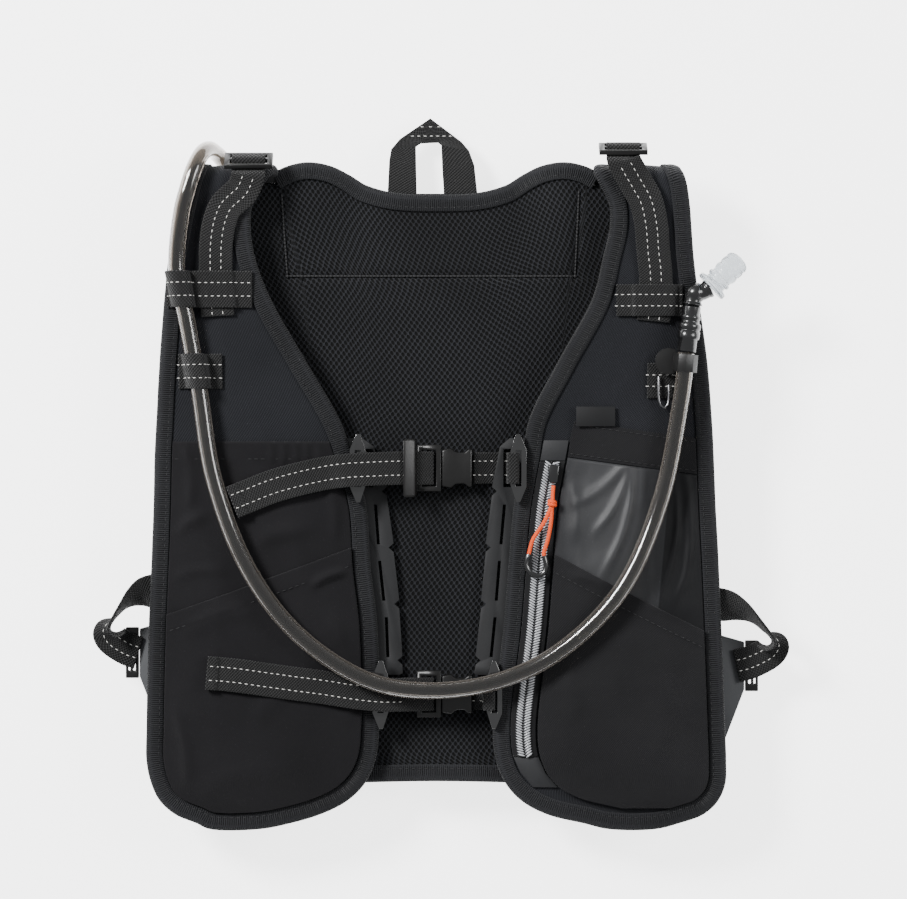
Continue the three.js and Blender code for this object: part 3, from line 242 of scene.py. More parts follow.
def finish_piece(piece, material, slot, *nodes):
    piece.data.materials.clear()
    piece.data.materials.append(material)
    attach(piece, "root")
    if nodes:
        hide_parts(*nodes)
    return piece


HOSE_ROUTE = [(-0.073, 0.13725, 0.0143), (-0.099, 0.15825, 0.0144), (-0.117, 0.17425, 0.016),
              (-0.129, 0.18525, 0.021), (-0.1355, 0.19205, 0.030), (-0.1395, 0.19385, 0.041),
              (-0.143, 0.19075, 0.0495), (-0.147, 0.18225, 0.0553), (-0.1515, 0.16825, 0.0572),
              (-0.1548, 0.15525, 0.0569), (-0.1578, 0.12125, 0.0552), (-0.152, 0.09125, 0.0528),
              (-0.1446, 0.04925, 0.0505), (-0.1356, -0.00475, 0.0512), (-0.1146, -0.05875, 0.054),
              (-0.0846, -0.09775, 0.054), (-0.0426, -0.12475, 0.054), (-0.0066, -0.13075, 0.0518),
              (0.0354, -0.12475, 0.0506), (0.0714, -0.10675, 0.053), (0.1074, -0.07075, 0.0544),
              (0.1314, -0.01675, 0.0516), (0.1432, 0.04125, 0.052), (0.1454, 0.05825, 0.0548),
              (0.1464, 0.07125, 0.0552)]
HOSE_DIAMETER = 0.010
HOSE_BORE = 0.0062
UPWARD = (0, 0, 1)

hose_line = smooth_line(HOSE_ROUTE, 0.0025)


def circle_rings(line, first, radii, count):
    """Circles round a line, each with its first point in one direction that is carried along."""
    side, up = carried_frames(line, first)
    angles = 2 * math.pi * np.arange(count) / count
    across = np.cos(angles)[None, :, None] * side[:, None, :] + np.sin(angles)[None, :, None] * up[:, None, :]
    return line[:, None, :] + across * np.broadcast_to(radii, len(line))[:, None, None]


hose_outside = circle_rings(hose_line, UPWARD, HOSE_DIAMETER / 2, 24)
hose_inside = circle_rings(hose_line, UPWARD, HOSE_BORE / 2, 24)
hose = loft("drinking_hose", np.concatenate([hose_outside, hose_inside[::-1]]), closed=True)

hose_material, hose_tree, hose_shader = plain_node_material("Smoky hose", (0.42, 0.39, 0.35), 0.09)
hose_shader.inputs["IOR"].default_value = 1.42
hose_shader.inputs["Coat Weight"].default_value = 0.8
hose_shader.inputs["Coat Roughness"].default_value = 0.06
# painted highlight: the base colour is dark smoke where the tube faces the viewer and pale beige at its rims,
# the tube's amber tint painted lighter there for the light caught along its sides
rim = hose_tree.nodes.new("ShaderNodeLayerWeight")
rim.inputs["Blend"].default_value = 0.35
facing = rim.outputs["Facing"]
haze = noise(hose_tree, where(hose_tree), 14)
join(hose_tree, (scaled_range(hose_tree, haze, 0.07, 0.13), hose_shader.inputs["Roughness"]),
     (scaled_range(hose_tree, facing, 0.97, 0.72), hose_shader.inputs["Transmission Weight"]),
     (mixed(hose_tree, facing, (0.12, 0.11, 0.097), (0.71, 0.625, 0.545)), hose_shader.inputs["Base Color"]))
finish_piece(hose, hose_material, "hose_tube", "hose")


# Connector, shut-off elbow and bite valve
# Glossy black moulded fittings on the hose's end, and a frosted silicone mouthpiece with ribs round its foot.
# The elbow follows a bend. The others are turned, and the mouthpiece is squeezed flat towards its tip.
MIDDLE = np.array([-3.0, 0.251, 0.0])  # from the vest's own middle line to the frame's, in millimetres


def placed(points):
    """Points in millimetres from the vest's middle line, as metres in the frame."""
    return (np.asarray(points, float) + MIDDLE) / 1000


def turned_form(name, foot, axis, profile, count=40, squeeze=None):
    """Rings round an axis; profile holds distance along and radius, in millimetres."""
    axis = unit(axis)
    side = unit(np.cross(axis, (0, 0, 1)))
    up = np.cross(side, axis)
    angles = 2 * math.pi * np.arange(count) / count
    rings = []
    for along, radius in profile:
        flat = 1 if squeeze is None else squeeze(along)
        circle = np.cos(angles)[:, None] * side + flat * np.sin(angles)[:, None] * up
        rings.append(np.asarray(foot) + along * axis + radius * circle)
    return loft(name, placed(rings))


def smooth(low, high, value):
    share = np.clip((np.asarray(value, float) - low) / (high - low), 0, 1)
    return share * share * (3 - 2 * share)


FITTING_Z = 55.2
CONNECTOR_FOOT = (149.5, 71.4, FITTING_Z)
CONNECTOR_HEAD = (153, 99, FITTING_Z)
VALVE_FOOT = (163.4, 109.6, FITTING_Z)
VALVE_AXIS = (0.73, 0.683, 0)
connector_profile = [(0, 4.4), (0, 5.4), (0.5, 5.7), (7.6, 5.7), (8.1, 6.5), (9, 6.7), (12.4, 6.7),
                     (12.8, 6.1), (13.4, 6.1), (13.8, 6.7), (16.4, 6.7), (17, 6.3), (17.6, 5.5), (19.4, 5.4),
                     (19.8, 5.9), (21.6, 5.9), (22, 5.4), (27, 5.3), (27.6, 5), (27.6, 3)]
connector = turned_form("hose_fitting_connector", CONNECTOR_FOOT,
                        np.subtract(CONNECTOR_HEAD, CONNECTOR_FOOT), connector_profile)

elbow_line = smooth_line([(153.1, 99.6, FITTING_Z), (153.9, 104, FITTING_Z), (155.4, 106.6, FITTING_Z + 0.1),
                          (159.2, 107.4, FITTING_Z), VALVE_FOOT], 0.5)
share = np.linspace(0, 1, len(elbow_line))
swollen = smooth(0.2, 0.42, share) * (1 - smooth(0.5, 0.7, share))
elbow_radii = 5.1 + 0.9 * (1 - smooth(0, 0.12, share)) + swollen + 0.6 * smooth(0.86, 0.9, share)
elbow = loft("hose_fitting_elbow", placed(circle_rings(elbow_line, UPWARD, elbow_radii, 36)))

valve_profile = [(0.4, 4), (0.4, 9.2), (0.8, 9.9), (1.9, 10), (3.2, 9.7), (3.8, 8.2), (4.3, 6.8), (5.9, 6.6),
                 (6.4, 7.4), (7, 7.9), (8.2, 7.9), (8.8, 7.2), (9.3, 6.7), (10.6, 6.8), (11.4, 7.2),
                 (12.4, 7.6), (14.5, 7.6), (15.2, 7.1), (16, 7.1), (16.8, 7.6), (19.5, 7.6), (20.2, 7.1),
                 (21, 7.1), (21.8, 7.5), (23.6, 6.9), (24.9, 5.4), (25.6, 3.4), (25.9, 1.2), (26, 0.2)]
bite_valve = turned_form("bite_mouthpiece", VALVE_FOOT, VALVE_AXIS, valve_profile, 48,
                         lambda along: 1 - 0.42 * float(smooth(10, 26, along)))


def pattern_group(name, inputs, outputs):
    """An empty shader group with named float inputs and outputs and a place on the surface."""
    group = bpy.data.node_groups.new(name, "ShaderNodeTree")
    group.interface.new_socket("Place", in_out="INPUT", socket_type="NodeSocketVector")
    for socket, default in inputs.items():
        group.interface.new_socket(socket, in_out="INPUT",
                                   socket_type="NodeSocketFloat").default_value = default
    for socket in outputs:
        group.interface.new_socket(socket, in_out="OUTPUT", socket_type="NodeSocketFloat")
    return group, group.nodes.new("NodeGroupInput"), group.nodes.new("NodeGroupOutput")


# Small pits and rub marks on moulded plastic: a soft grain for the bump, and patches with less shine
moulded_group, grain_in, grain_out = pattern_group("Moulded grain", {"Grain size": 900.0}, ["Grain", "Rub"])
fine = noise(moulded_group, grain_in.outputs["Place"], 1)
join(moulded_group, (grain_in.outputs["Grain size"], fine.node.inputs["Scale"]),
     (fine, grain_out.inputs["Grain"]),
     (noise(moulded_group, grain_in.outputs["Place"], 70), grain_out.inputs["Rub"]))


def place_group(tree, group, kind="Object", **values):
    """A shader group set on the piece's places, or on its UV map."""
    node = tree.nodes.new("ShaderNodeGroup")
    node.node_tree = group
    tree.links.new(where(tree, kind), node.inputs["Place"])
    for name, value in values.items():
        node.inputs[name.replace("_", " ")].default_value = value
    return node


def add_bump(tree, shader, height, strength, distance):
    bump = tree.nodes.new("ShaderNodeBump")
    bump.inputs["Strength"].default_value = strength
    bump.inputs["Distance"].default_value = distance
    join(tree, (height, bump.inputs["Height"]), (bump.outputs["Normal"], shader.inputs["Normal"]))


def grained(tree, shader, size, low, high, bump, depth):
    """Grain in relief and a gloss between low and high; returns the rub marks."""
    group = place_group(tree, moulded_group, Grain_size=size)
    tree.links.new(scaled_range(tree, group.outputs["Rub"], low, high), shader.inputs["Roughness"])
    add_bump(tree, shader, group.outputs["Grain"], bump, depth)
    return group.outputs["Rub"]


def plastic(name, dark, light, low, high, grain=900.0, bump=0.12, coat=0.0, shine=0.5):
    """A moulded plastic: its colour and gloss vary a little over the surface."""
    material, tree, shader = plain_node_material(name, dark, low)
    shader.inputs["Specular IOR Level"].default_value = shine
    shader.inputs["Coat Weight"].default_value = coat
    shader.inputs["Coat Roughness"].default_value = 0.12
    tree.links.new(mixed(tree, grained(tree, shader, grain, low, high, bump, 0.0002), dark, light),
                   shader.inputs["Base Color"])
    return material


fitting_plastic = plastic("Black fitting", (0.0030, 0.0030, 0.0032), (0.0065, 0.0065, 0.0070), 0.16,
                          0.32, coat=0.3)
finish_piece(connector, fitting_plastic, "buckle_plastic", "hose_connector")
finish_piece(elbow, fitting_plastic, "buckle_plastic", "valve_elbow")

silicone, silicone_tree, silicone_shader = plain_node_material("Frosted silicone", (0.56, 0.60, 0.63), 0.2)
silicone_shader.inputs["Transmission Weight"].default_value = 0.72
silicone_shader.inputs["IOR"].default_value = 1.41
grained(silicone_tree, silicone_shader, 500.0, 0.14, 0.28, 0.15, 0.0003)
finish_piece(bite_valve, silicone, "silicone", "bite_valve")


# Back panel
# A thick pad of black spacer mesh. Its face is an open knit with rows of small holes, and a line of
# stitching marks off a box below the collar. It runs up into a stub on each side that the front panels are
# sewn to.
BACK_UNDER = 20.4
BACK_FOAM = 8.0
BACK_HALF_WIDTH = 146.0
BACK_HEM_Y = -186.0
COLLAR_Y = 166.0
COLLAR_RISE = 19.0
FOLD_Y = 174.0
STUB_Y = FOLD_Y - 0.4
COLLAR_END = 0.637
COLLAR = np.array([(0, 0), (0.18, 0.06), (0.3, 0.3), (0.38, 0.63), (0.46, 0.9), (0.55, 1),
                   (COLLAR_END, 0.86)])
BACK_SIDE = np.array([(0, 0.88), (0.012, 0.94), (0.05, 1), (0.22, 1), (0.36, 0.955), (0.5, 0.87),
                      (0.66, 0.815), (0.8, 0.85), (0.9, 0.93), (0.96, 0.965), (1, 0.97)])


def eased(table, key):
    """Reads a table of key and value along a smooth curve that never swings past its values."""
    xs, ys = np.asarray(table, float).T
    slopes = np.diff(ys) / np.diff(xs)
    tangents = np.zeros_like(ys)
    tangents[0], tangents[-1] = slopes[0], slopes[-1]
    same = slopes[:-1] * slopes[1:] > 0
    tangents[1:-1][same] = 2 * slopes[:-1][same] * slopes[1:][same] / (slopes[:-1][same] + slopes[1:][same])
    key = np.clip(np.asarray(key, float), xs[0], xs[-1])
    i = np.clip(np.searchsorted(xs, key, side="right") - 1, 0, len(xs) - 2)
    gap = xs[i + 1] - xs[i]
    t = (key - xs[i]) / gap
    return ((1 + 2 * t) * (1 - t) ** 2 * ys[i] + t * (1 - t) ** 2 * gap * tangents[i]
            + t * t * (3 - 2 * t) * ys[i + 1] + t * t * (t - 1) * gap * tangents[i + 1])


def back_lift(x, y):
    return 8 * smooth(FOLD_Y - 60, FOLD_Y - 4, y) * smooth(0.3, 0.55, np.abs(x) / BACK_HALF_WIDTH)


def back_top_y(across):
    across = np.abs(across)
    return np.where(across > COLLAR_END + 0.001, STUB_Y, COLLAR_Y + COLLAR_RISE * eased(COLLAR, across))


def near_line(x, y, a, b):
    """Distance from each place to the line from a to b."""
    (ax, ay), (bx, by) = a, b
    t = np.clip(((x - ax) * (bx - ax) + (y - ay) * (by - ay)) / ((bx - ax) ** 2 + (by - ay) ** 2), 0, 1)
    return np.hypot(x - ax - t * (bx - ax), y - ay - t * (by - ay))


def ripples(x, y, size, seed):
    """A gentle uneven surface between -1 and 1, the same on each run."""
    wave = 0
    for k in range(1, 5):
        turn = 2.399 * (k + seed)
        along = x * math.cos(turn) + y * math.sin(turn)
        length = size * (0.6 + 0.31 * k)
        wave = wave + np.sin(along * 2 * math.pi / length + 1.7 * k * seed) / k ** 0.5
    return wave / 2.8


half = [*np.linspace(0, COLLAR_END, 60), COLLAR_END + 0.006, *np.linspace(0.67, 1, 16)]
across = np.array([-share for share in half[:0:-1]] + half)[None, :]
along = np.concatenate([np.linspace(0, 0.05, 8), np.linspace(0.06, 0.94, 190), np.linspace(0.95, 1, 9)])
along = along[:, None]
back_y = BACK_HEM_Y + (back_top_y(across) - BACK_HEM_Y) * along
back_x = across * BACK_HALF_WIDTH * eased(BACK_SIDE, along)
BOX_LINES = [((-90, 118), (84, 118)), ((84, 118), (86, 168)), ((-90, 118), (-93, 166))]
groove = sum(np.exp(-(near_line(back_x, back_y, a, b) / 2.0) ** 2) for a, b in BOX_LINES)
rim = np.minimum(np.minimum(along, 1 - along) * 370, (1 - np.abs(across)) * 140)
soft_rim = 1.4 * np.exp(-rim / 5)
back_face = BACK_UNDER + BACK_FOAM + back_lift(back_x, back_y) - 1.7 * np.clip(groove, 0, 1) - soft_rim
back_face = back_face + 0.35 * ripples(back_x, back_y, 70, 3) * smooth(4, 30, rim) - 0.3
back_under = BACK_UNDER + back_lift(back_x, back_y) + 0.4 * soft_rim
top = np.stack([back_x, back_y, back_face], axis=2)
under = np.stack([back_x, back_y, back_under], axis=2)
back_panel = loft("back_pad", placed(np.concatenate([top, under[:, ::-1]], axis=1)))


def calc(tree, operation, *values, clamp=False):
    """A Math node; each value is a number or an output."""
    node = tree.nodes.new("ShaderNodeMath")
    node.operation = operation
    node.use_clamp = clamp
    for socket, value in zip(node.inputs, values):
        if isinstance(value, (int, float)):
            socket.default_value = value
        else:
            tree.links.new(value, socket)
    return node.outputs[0]


# Open knit: staggered rows of round holes, Pitch apart. Holes is 1 in a hole, Height is the knit's relief.
knit_group, knit_in, knit_out = pattern_group("Open knit", {"Pitch": 0.0036}, ["Holes", "Height"])
parts = knit_group.nodes.new("ShaderNodeSeparateXYZ")
knit_group.links.new(knit_in.outputs["Place"], parts.inputs[0])
lattices = []
for shift in (0.0, 0.5):
    cells = []
    for axis, stretch, roundness in (("X", 1.0, 1.0), ("Y", 1.3, 0.74)):
        scaled = calc(knit_group, "DIVIDE", parts.outputs[axis], knit_in.outputs["Pitch"])
        scaled = calc(knit_group, "MULTIPLY", scaled, 1 / stretch)
        cell = calc(knit_group, "SUBTRACT", calc(knit_group, "FRACT", calc(knit_group, "ADD", scaled, shift)),
                    0.5)
        cells.append(calc(knit_group, "MULTIPLY", cell, stretch * roundness))
    squares = [calc(knit_group, "MULTIPLY", cell, cell) for cell in cells]
    lattices.append(calc(knit_group, "SQRT", calc(knit_group, "ADD", *squares)))
nearest = calc(knit_group, "MINIMUM", *lattices)
holes = scaled_range(knit_group, nearest, 0, 1, source_range=(0.36, 0.19))
holes.node.interpolation_type = "SMOOTHSTEP"
join(knit_group, (holes, knit_out.inputs["Holes"]),
     (calc(knit_group, "SUBTRACT", 1.0, holes), knit_out.inputs["Height"]))

# Weave: threads over and under each other, Pitch apart. Ribs runs from 0 between the threads to 1 on top.
weave_group, weave_in, weave_out = pattern_group("Weave", {"Pitch": 0.001, "Long": 1.0}, ["Ribs"])
parts = weave_group.nodes.new("ShaderNodeSeparateXYZ")
weave_group.links.new(weave_in.outputs["Place"], parts.inputs[0])
turns = calc(weave_group, "DIVIDE", 2 * math.pi, weave_in.outputs["Pitch"])
wave_x = calc(weave_group, "SINE", calc(weave_group, "MULTIPLY", parts.outputs["X"], turns))
long_turns = calc(weave_group, "DIVIDE", turns, weave_in.outputs["Long"])
wave_y = calc(weave_group, "SINE", calc(weave_group, "MULTIPLY", parts.outputs["Y"], long_turns))
crossed = calc(weave_group, "MULTIPLY", wave_x, wave_y)
weave_group.links.new(calc(weave_group, "MULTIPLY_ADD", crossed, 0.5, 0.5), weave_out.inputs["Ribs"])

# Lint and handling: slow patches of tone, and a few pale specks
tone_group, tone_in, tone_out = pattern_group("Lint and tone", {}, ["Tone", "Specks"])
patches = noise(tone_group, tone_in.outputs["Place"], 18, detail=3)
specks = scaled_range(tone_group, noise(tone_group, tone_in.outputs["Place"], 1400), 0, 1,
                      source_range=(0.69, 0.78))
join(tone_group, (patches, tone_out.inputs["Tone"]), (specks, tone_out.inputs["Specks"]))


def cloth(name, dark, light, relief, pitch, depth, long=1.0, rough=(0.78, 0.95), sheen=0.08, specks=0.35,
          group=weave_group, output="Ribs"):
    """A cloth with its threads in relief. It reads the piece's own UV map, in metres."""
    material, tree, shader = plain_node_material(name, dark, rough[1])
    shader.inputs["Sheen Weight"].default_value = sheen
    shader.inputs["Sheen Roughness"].default_value = 0.45
    shader.inputs["Specular IOR Level"].default_value = 0.14
    threads = place_group(tree, group, "UV", Pitch=pitch)
    if group is weave_group:
        threads.inputs["Long"].default_value = long
    tone = place_group(tree, tone_group)
    ribs = threads.outputs[output]
    # painted shade: the colour is lighter on the thread tops and darker between them, where the relief would
    # lie in shade; the slow patches of tone vary it at random, and the pale specks are dust
    shade = calc(tree, "MULTIPLY", calc(tree, "MULTIPLY_ADD", ribs, 0.75, 0.25),
                 scaled_range(tree, tone.outputs["Tone"], 0.35, 1.4))
    colour = mixed(tree, shade, dark, light)
    thread_shade_and_dust = mixed(tree, calc(tree, "MULTIPLY", tone.outputs["Specks"], specks), colour,
                  tuple(4 * c + 0.02 for c in light))
    join(tree, (thread_shade_and_dust, shader.inputs["Base Color"]),
         (scaled_range(tree, tone.outputs["Tone"], rough[1], rough[0]), shader.inputs["Roughness"]))
    add_bump(tree, shader, ribs, relief, depth)
    return material, tree, shader, threads, thread_shade_and_dust


mesh_cloth, tree, shader, knit, thread_shade_and_dust = cloth("Spacer mesh", (0.0008, 0.0008, 0.0011),
                                              (0.0150, 0.0157, 0.0185), 0.9, 0.0034, 0.0009, group=knit_group,
                                              output="Height")
# painted shade: the holes are coloured near black, for the shade inside them
shade_in_holes = mixed(tree, knit.outputs["Holes"], thread_shade_and_dust, (0.0002, 0.0002, 0.0003))
tree.links.new(shade_in_holes, shader.inputs["Base Color"])
finish_piece(back_panel, mesh_cloth, "spacer_mesh", "back_panel")


# Binding tapes
# Thick ribbed tape folded round the pads' edges in a soft C and sewn through near its inner edge. It is
# puffy because the foam pushes it out between the stitches. One tape goes round each front panel, and two
# go round the back panel.
TAPE_OUTSIDE = 1.35
TAPE_INSIDE = 0.25
TAPE_REACH = 9.4
SEAM_INSET = 6.6
DARK_PITCH = 3.9


def over_edge(name, line, normal, outward, pad, seed):
    """A tape round a pad's edge: line, normal and outward are in millimetres, pad is its thickness there."""
    outside, inside = pad / 2 + TAPE_OUTSIDE, pad / 2 + TAPE_INSIDE
    edge = [(-9, -0.5), (-8.7, -0.1), (-7.2, 0.02), (-6.4, -0.12), (-5.4, 0.1), (-3.6, 0.2), (-1.6, 0.05),
            (-0.2, -0.35), (0.8, -1.05)]
    outer = [(u, outside + v) for u, v in edge] + [(1.35, outside - 2.1)]
    outer = outer + [(1.45, 0)] + [(u, -v) for u, v in reversed(outer)]
    inner = [(-9, -inside), (-4, -inside), (0.3, -inside), (0.45, 0), (0.3, inside),
             (-4, inside), (-9, inside)]
    section = np.array(outer + inner)
    distance = run_along(line)
    between_stitches = np.sin(distance * 2 * math.pi / DARK_PITCH + seed)
    pucker = 0.16 * between_stitches + 0.3 * ripples(distance, 0 * distance, 23, seed)
    swell = (np.arange(len(section)) < len(outer)) * (section[:, 0] > -7) * np.sign(section[:, 1])
    heights = section[None, :, 1] + pucker[:, None] * swell[None, :]
    reach = section[None, :, 0, None] * outward[:, None, :]
    rings = line[:, None, :] + reach + heights[:, :, None] * normal[:, None, :]
    stitches = line - SEAM_INSET * outward + (outside + 0.02) * normal
    return loft(name, placed(rings)), stitches


def surface_normals(surface, x, y):
    """Upward directions of a surface, which gives the places of x and y, at each x and y."""
    along_x = surface(x + 0.5, y) - surface(x - 0.5, y)
    along_y = surface(x, y + 0.5) - surface(x, y - 0.5)
    return unit(np.cross(along_x, along_y))


def edge_frames(line, normal, inside):
    """Outward directions across an edge, from places that lie inside the pad."""
    tangents = unit(np.gradient(line, axis=0))
    outward = unit(np.cross(tangents, normal))
    flip = np.einsum("ij,ij->i", outward, inside - line) > 0
    outward[flip] *= -1
    return outward


tape_cloth, *_ = cloth("Ribbed tape", (0.0030, 0.0030, 0.0034), (0.022, 0.0225, 0.025), 1.0, 0.016, 0.0012,
                       long=0.08)


def back_edge_line(places):
    """The middle of the back panel's edge through places on it, with its normals."""
    flat = smooth_line([(x, y, 0) for x, y in places], 1.2)
    x, y = flat[:, 0], flat[:, 1]
    middle = lambda px, py: np.stack([px, py, BACK_UNDER + BACK_FOAM / 2 + back_lift(px, py)], axis=1)
    normal = surface_normals(middle, x, y)
    line = middle(x, y)
    return line, normal, edge_frames(line, normal, middle(x * 0.8, y * 0.9))


WIDE_TOP = 0.97
collar_half = [(share * BACK_HALF_WIDTH * WIDE_TOP, float(back_top_y(share))) for share in COLLAR[:, 0]]
collar_half.append((98.0, float(back_top_y(COLLAR_END)) - 4))  # it runs on below the front panel
collar_places = [(-x, y) for x, y in collar_half[:0:-1]] + collar_half
side_half = [(BACK_HALF_WIDTH * wide, BACK_HEM_Y + (STUB_Y - BACK_HEM_Y) * along)
             for along, wide in BACK_SIDE if along < 0.97]
hem_places = [(-x, y) for x, y in side_half[::-1]] + [(0, BACK_HEM_Y)] + side_half
seams = []  # lines of dark stitching on the tapes and the pockets, sewn in the section on stitching
box_seams = []  # the sewn lines of the box below the collar
for start, end in BOX_LINES:
    x, y = np.linspace(start, end, 60).T
    box_seams.append(np.column_stack([x, y, BACK_UNDER + BACK_FOAM + back_lift(x, y) - 0.95]))
for name, node, places in (("collar_tape", "collar_binding", collar_places),
                           ("hem_tape", "hem_binding", hem_places)):
    line, normal, outward = back_edge_line(places)
    tape, stitches = over_edge(name, line, normal, outward, BACK_FOAM, 1.3)
    finish_piece(tape, tape_cloth, "binding_tape", node)
    seams.append(stitches)


# Front panels
# Padded shoulder and chest panels of fine knit over foam. Each folds over the shoulder and is sewn to the
# back panel's stub. Their taped edges pinch the foam, so the middle stands up in a low crown.
HALF_WIDTH = 173.0
PANEL_LENGTH = 388.0
HEM_Y = -214.0
PANEL_UNDER = 34.2
FRONT_FOAM = 5.6
EDGE_FOAM = 3.6
FOLD_INNER = 5.5
FOLD_Z = 40.7
FOLD_LENGTH = math.pi * FOLD_INNER
FOLD_SHARE = 0.0445
SIGN = {"left": -1, "right": 1}
# along, left inner, left outer, right inner, right outer edge, in shares of the length and of the half width
OUTLINE = np.array([(0, 0.613, 0.786, 0.601, 0.763), (0.009, 0.509, 0.832, 0.514, 0.844),
                    (0.022, 0.41, 0.902, 0.393, 0.925), (0.042, 0.318, 0.954, 0.306, 0.974),
                    (0.068, 0.257, 0.983, 0.251, 0.999), (0.102, 0.22, 1, 0.217, 1.002),
                    (0.152, 0.206, 1, 0.205, 0.998), (0.31, 0.212, 0.992, 0.243, 0.985),
                    (0.405, 0.236, 0.983, 0.26, 0.976), (0.5, 0.252, 0.975, 0.279, 0.965),
                    (0.575, 0.298, 0.971, 0.309, 0.958), (0.632, 0.344, 0.964, 0.332, 0.951),
                    (0.72, 0.457, 0.952, 0.431, 0.934), (0.818, 0.581, 0.934, 0.55, 0.903),
                    (0.883, 0.636, 0.918, 0.587, 0.885), (0.93, 0.65, 0.898, 0.61, 0.877),
                    (0.964, 0.642, 0.882, 0.607, 0.871), (1, 0.598, 0.861, 0.569, 0.858),
                    (1.011, 0.575, 0.846, 0.555, 0.846), (1.022, 0.561, 0.834, 0.555, 0.834),
                    (1.033, 0.556, 0.826, 0.555, 0.826), (1 + FOLD_SHARE, 0.555, 0.82, 0.555, 0.82)])
COLUMNS = {("left", "in"): 1, ("left", "out"): 2, ("right", "in"): 3, ("right", "out"): 4}


def up_panel(share):
    """Height of a share of the panel's length; past 1, and past the shoulder, the length round the fold."""
    past = FOLD_Y + (share - 1) / FOLD_SHARE * FOLD_LENGTH
    return np.where(share <= 1, HEM_Y + share * PANEL_LENGTH, past)


def panel_edge(side, which, y):
    """Distance of a front panel's edge from the middle line, at a height up the panel."""
    return HALF_WIDTH * eased(OUTLINE[:, [0, COLUMNS[side, which]]], (np.asarray(y) - HEM_Y) / PANEL_LENGTH)


def plain_edge(side, which, y):
    """The same, along straight lines between the rows of the outline."""
    return float(HALF_WIDTH * np.interp((y - HEM_Y) / PANEL_LENGTH, OUTLINE[:, 0],
                                        OUTLINE[:, COLUMNS[side, which]]))


def front_under(x, y):
    rise = 12 * smooth(FOLD_Y - 194, FOLD_Y, y)
    across = (x / HALF_WIDTH - 0.6) / 0.38
    up = (y - HEM_Y) / PANEL_LENGTH
    bulge = 3 * np.maximum(0, 1 - across ** 2) * smooth(0, 0.15, up) * (1 - smooth(0.7, 0.92, up))
    return PANEL_UNDER + rise + bulge


def distance_to_edge(side, x, y):
    rows = OUTLINE[OUTLINE[:, 0] <= 1]
    ys = HEM_Y + rows[:, 0] * PANEL_LENGTH
    outer = [(HALF_WIDTH * row[COLUMNS[side, "out"]], py) for row, py in zip(rows, ys)]
    inner = [(HALF_WIDTH * row[COLUMNS[side, "in"]], py) for row, py in zip(rows, ys)]
    outline = outer[::-1] + inner
    return np.min([near_line(x, y, a, b) for a, b in zip(outline, outline[1:])], axis=0)


def inward(side, x, y):
    """0 on a front panel's taped edge, 1 well inside the panel."""
    return np.clip((distance_to_edge(side, x, y) - 9) / 32, 0, 1)


def foam_at(side, x, y):
    return EDGE_FOAM + (FRONT_FOAM - EDGE_FOAM) * inward(side, x, y)


def front_top(side, x, y):
    return front_under(x, y) + foam_at(side, x, y)


def on_panel(side, x, y, h):
    """Places on a front panel: past the fold, y - FOLD_Y is the length round it. h is above the underside."""
    turn = np.maximum(0, (y - FOLD_Y) / FOLD_INNER)
    reach = FOLD_INNER + h
    flat = y <= FOLD_Y
    py = np.where(flat, y, FOLD_Y + reach * np.sin(turn))
    pz = np.where(flat, front_under(x, y) + h, FOLD_Z + reach * np.cos(turn))
    return np.stack(np.broadcast_arrays(SIGN[side] * x, py, pz), axis=-1)


def panel_edge_line(side):
    """The middle of a front panel's taped edge, down its outer side, round the hem and up its inner side."""
    along, inn, out = OUTLINE[:, [0, COLUMNS[side, "in"], COLUMNS[side, "out"]]].T
    heights = up_panel(along)
    places = [*zip(HALF_WIDTH * out[::-1], heights[::-1]), *zip(HALF_WIDTH * inn, heights)]
    flat = smooth_line([(x, y, 0) for x, y in places], 1.2)
    x, y = flat[:, 0], flat[:, 1]
    middle = lambda px, py: on_panel(side, px, py, EDGE_FOAM / 2)
    normal = SIGN[side] * surface_normals(middle, x, y)
    centre = (panel_edge(side, "in", y) + panel_edge(side, "out", y)) / 2
    inside = middle(x + 0.3 * (centre - x), np.maximum(y, HEM_Y + 12))
    line = middle(x, y)
    return line, normal, edge_frames(line, normal, inside)


knit_cloth, *_ = cloth("Fine knit", (0.0036, 0.0039, 0.0052), (0.0150, 0.0158, 0.0192), 0.8, 0.0016, 0.0006,
                       sheen=0.12)
panel_frames = {}
for side in ("left", "right"):
    up = np.concatenate([np.linspace(0, 0.03, 6), np.linspace(0.04, 0.99, 130),
                         np.linspace(1, 1 + FOLD_SHARE, 16)])[:, None]
    y = up_panel(up)
    share = np.linspace(0, 1, 56)[None, :]
    inn = HALF_WIDTH * eased(OUTLINE[:, [0, COLUMNS[side, "in"]]], up)
    out = HALF_WIDTH * eased(OUTLINE[:, [0, COLUMNS[side, "out"]]], up)
    x = inn + (out - inn) * share
    y = np.broadcast_to(y, x.shape)
    depth = foam_at(side, x, y)
    slack = 0.35 * ripples(x, y, 46, 5 + SIGN[side]) * smooth(9, 26, distance_to_edge(side, x, y))
    face = on_panel(side, x, y, depth + np.where(up < 0.66, 0, slack) - 0.1)
    back = on_panel(side, x, y, 0.1)
    panel = loft(f"chest_pad_{side}", placed(np.concatenate([face, back[:, ::-1]], axis=1)))
    finish_piece(panel, knit_cloth, "knit", f"front_panel_{side}")
    line, normal, outward = panel_edge_line(side)
    panel_frames[side] = (line, normal, outward)
    tape, stitches = over_edge(f"chest_tape_{side}", line, normal, outward, EDGE_FOAM, 2.1 * SIGN[side])
    finish_piece(tape, tape_cloth, "binding_tape", f"panel_binding_{side}")
    seams.append(stitches)


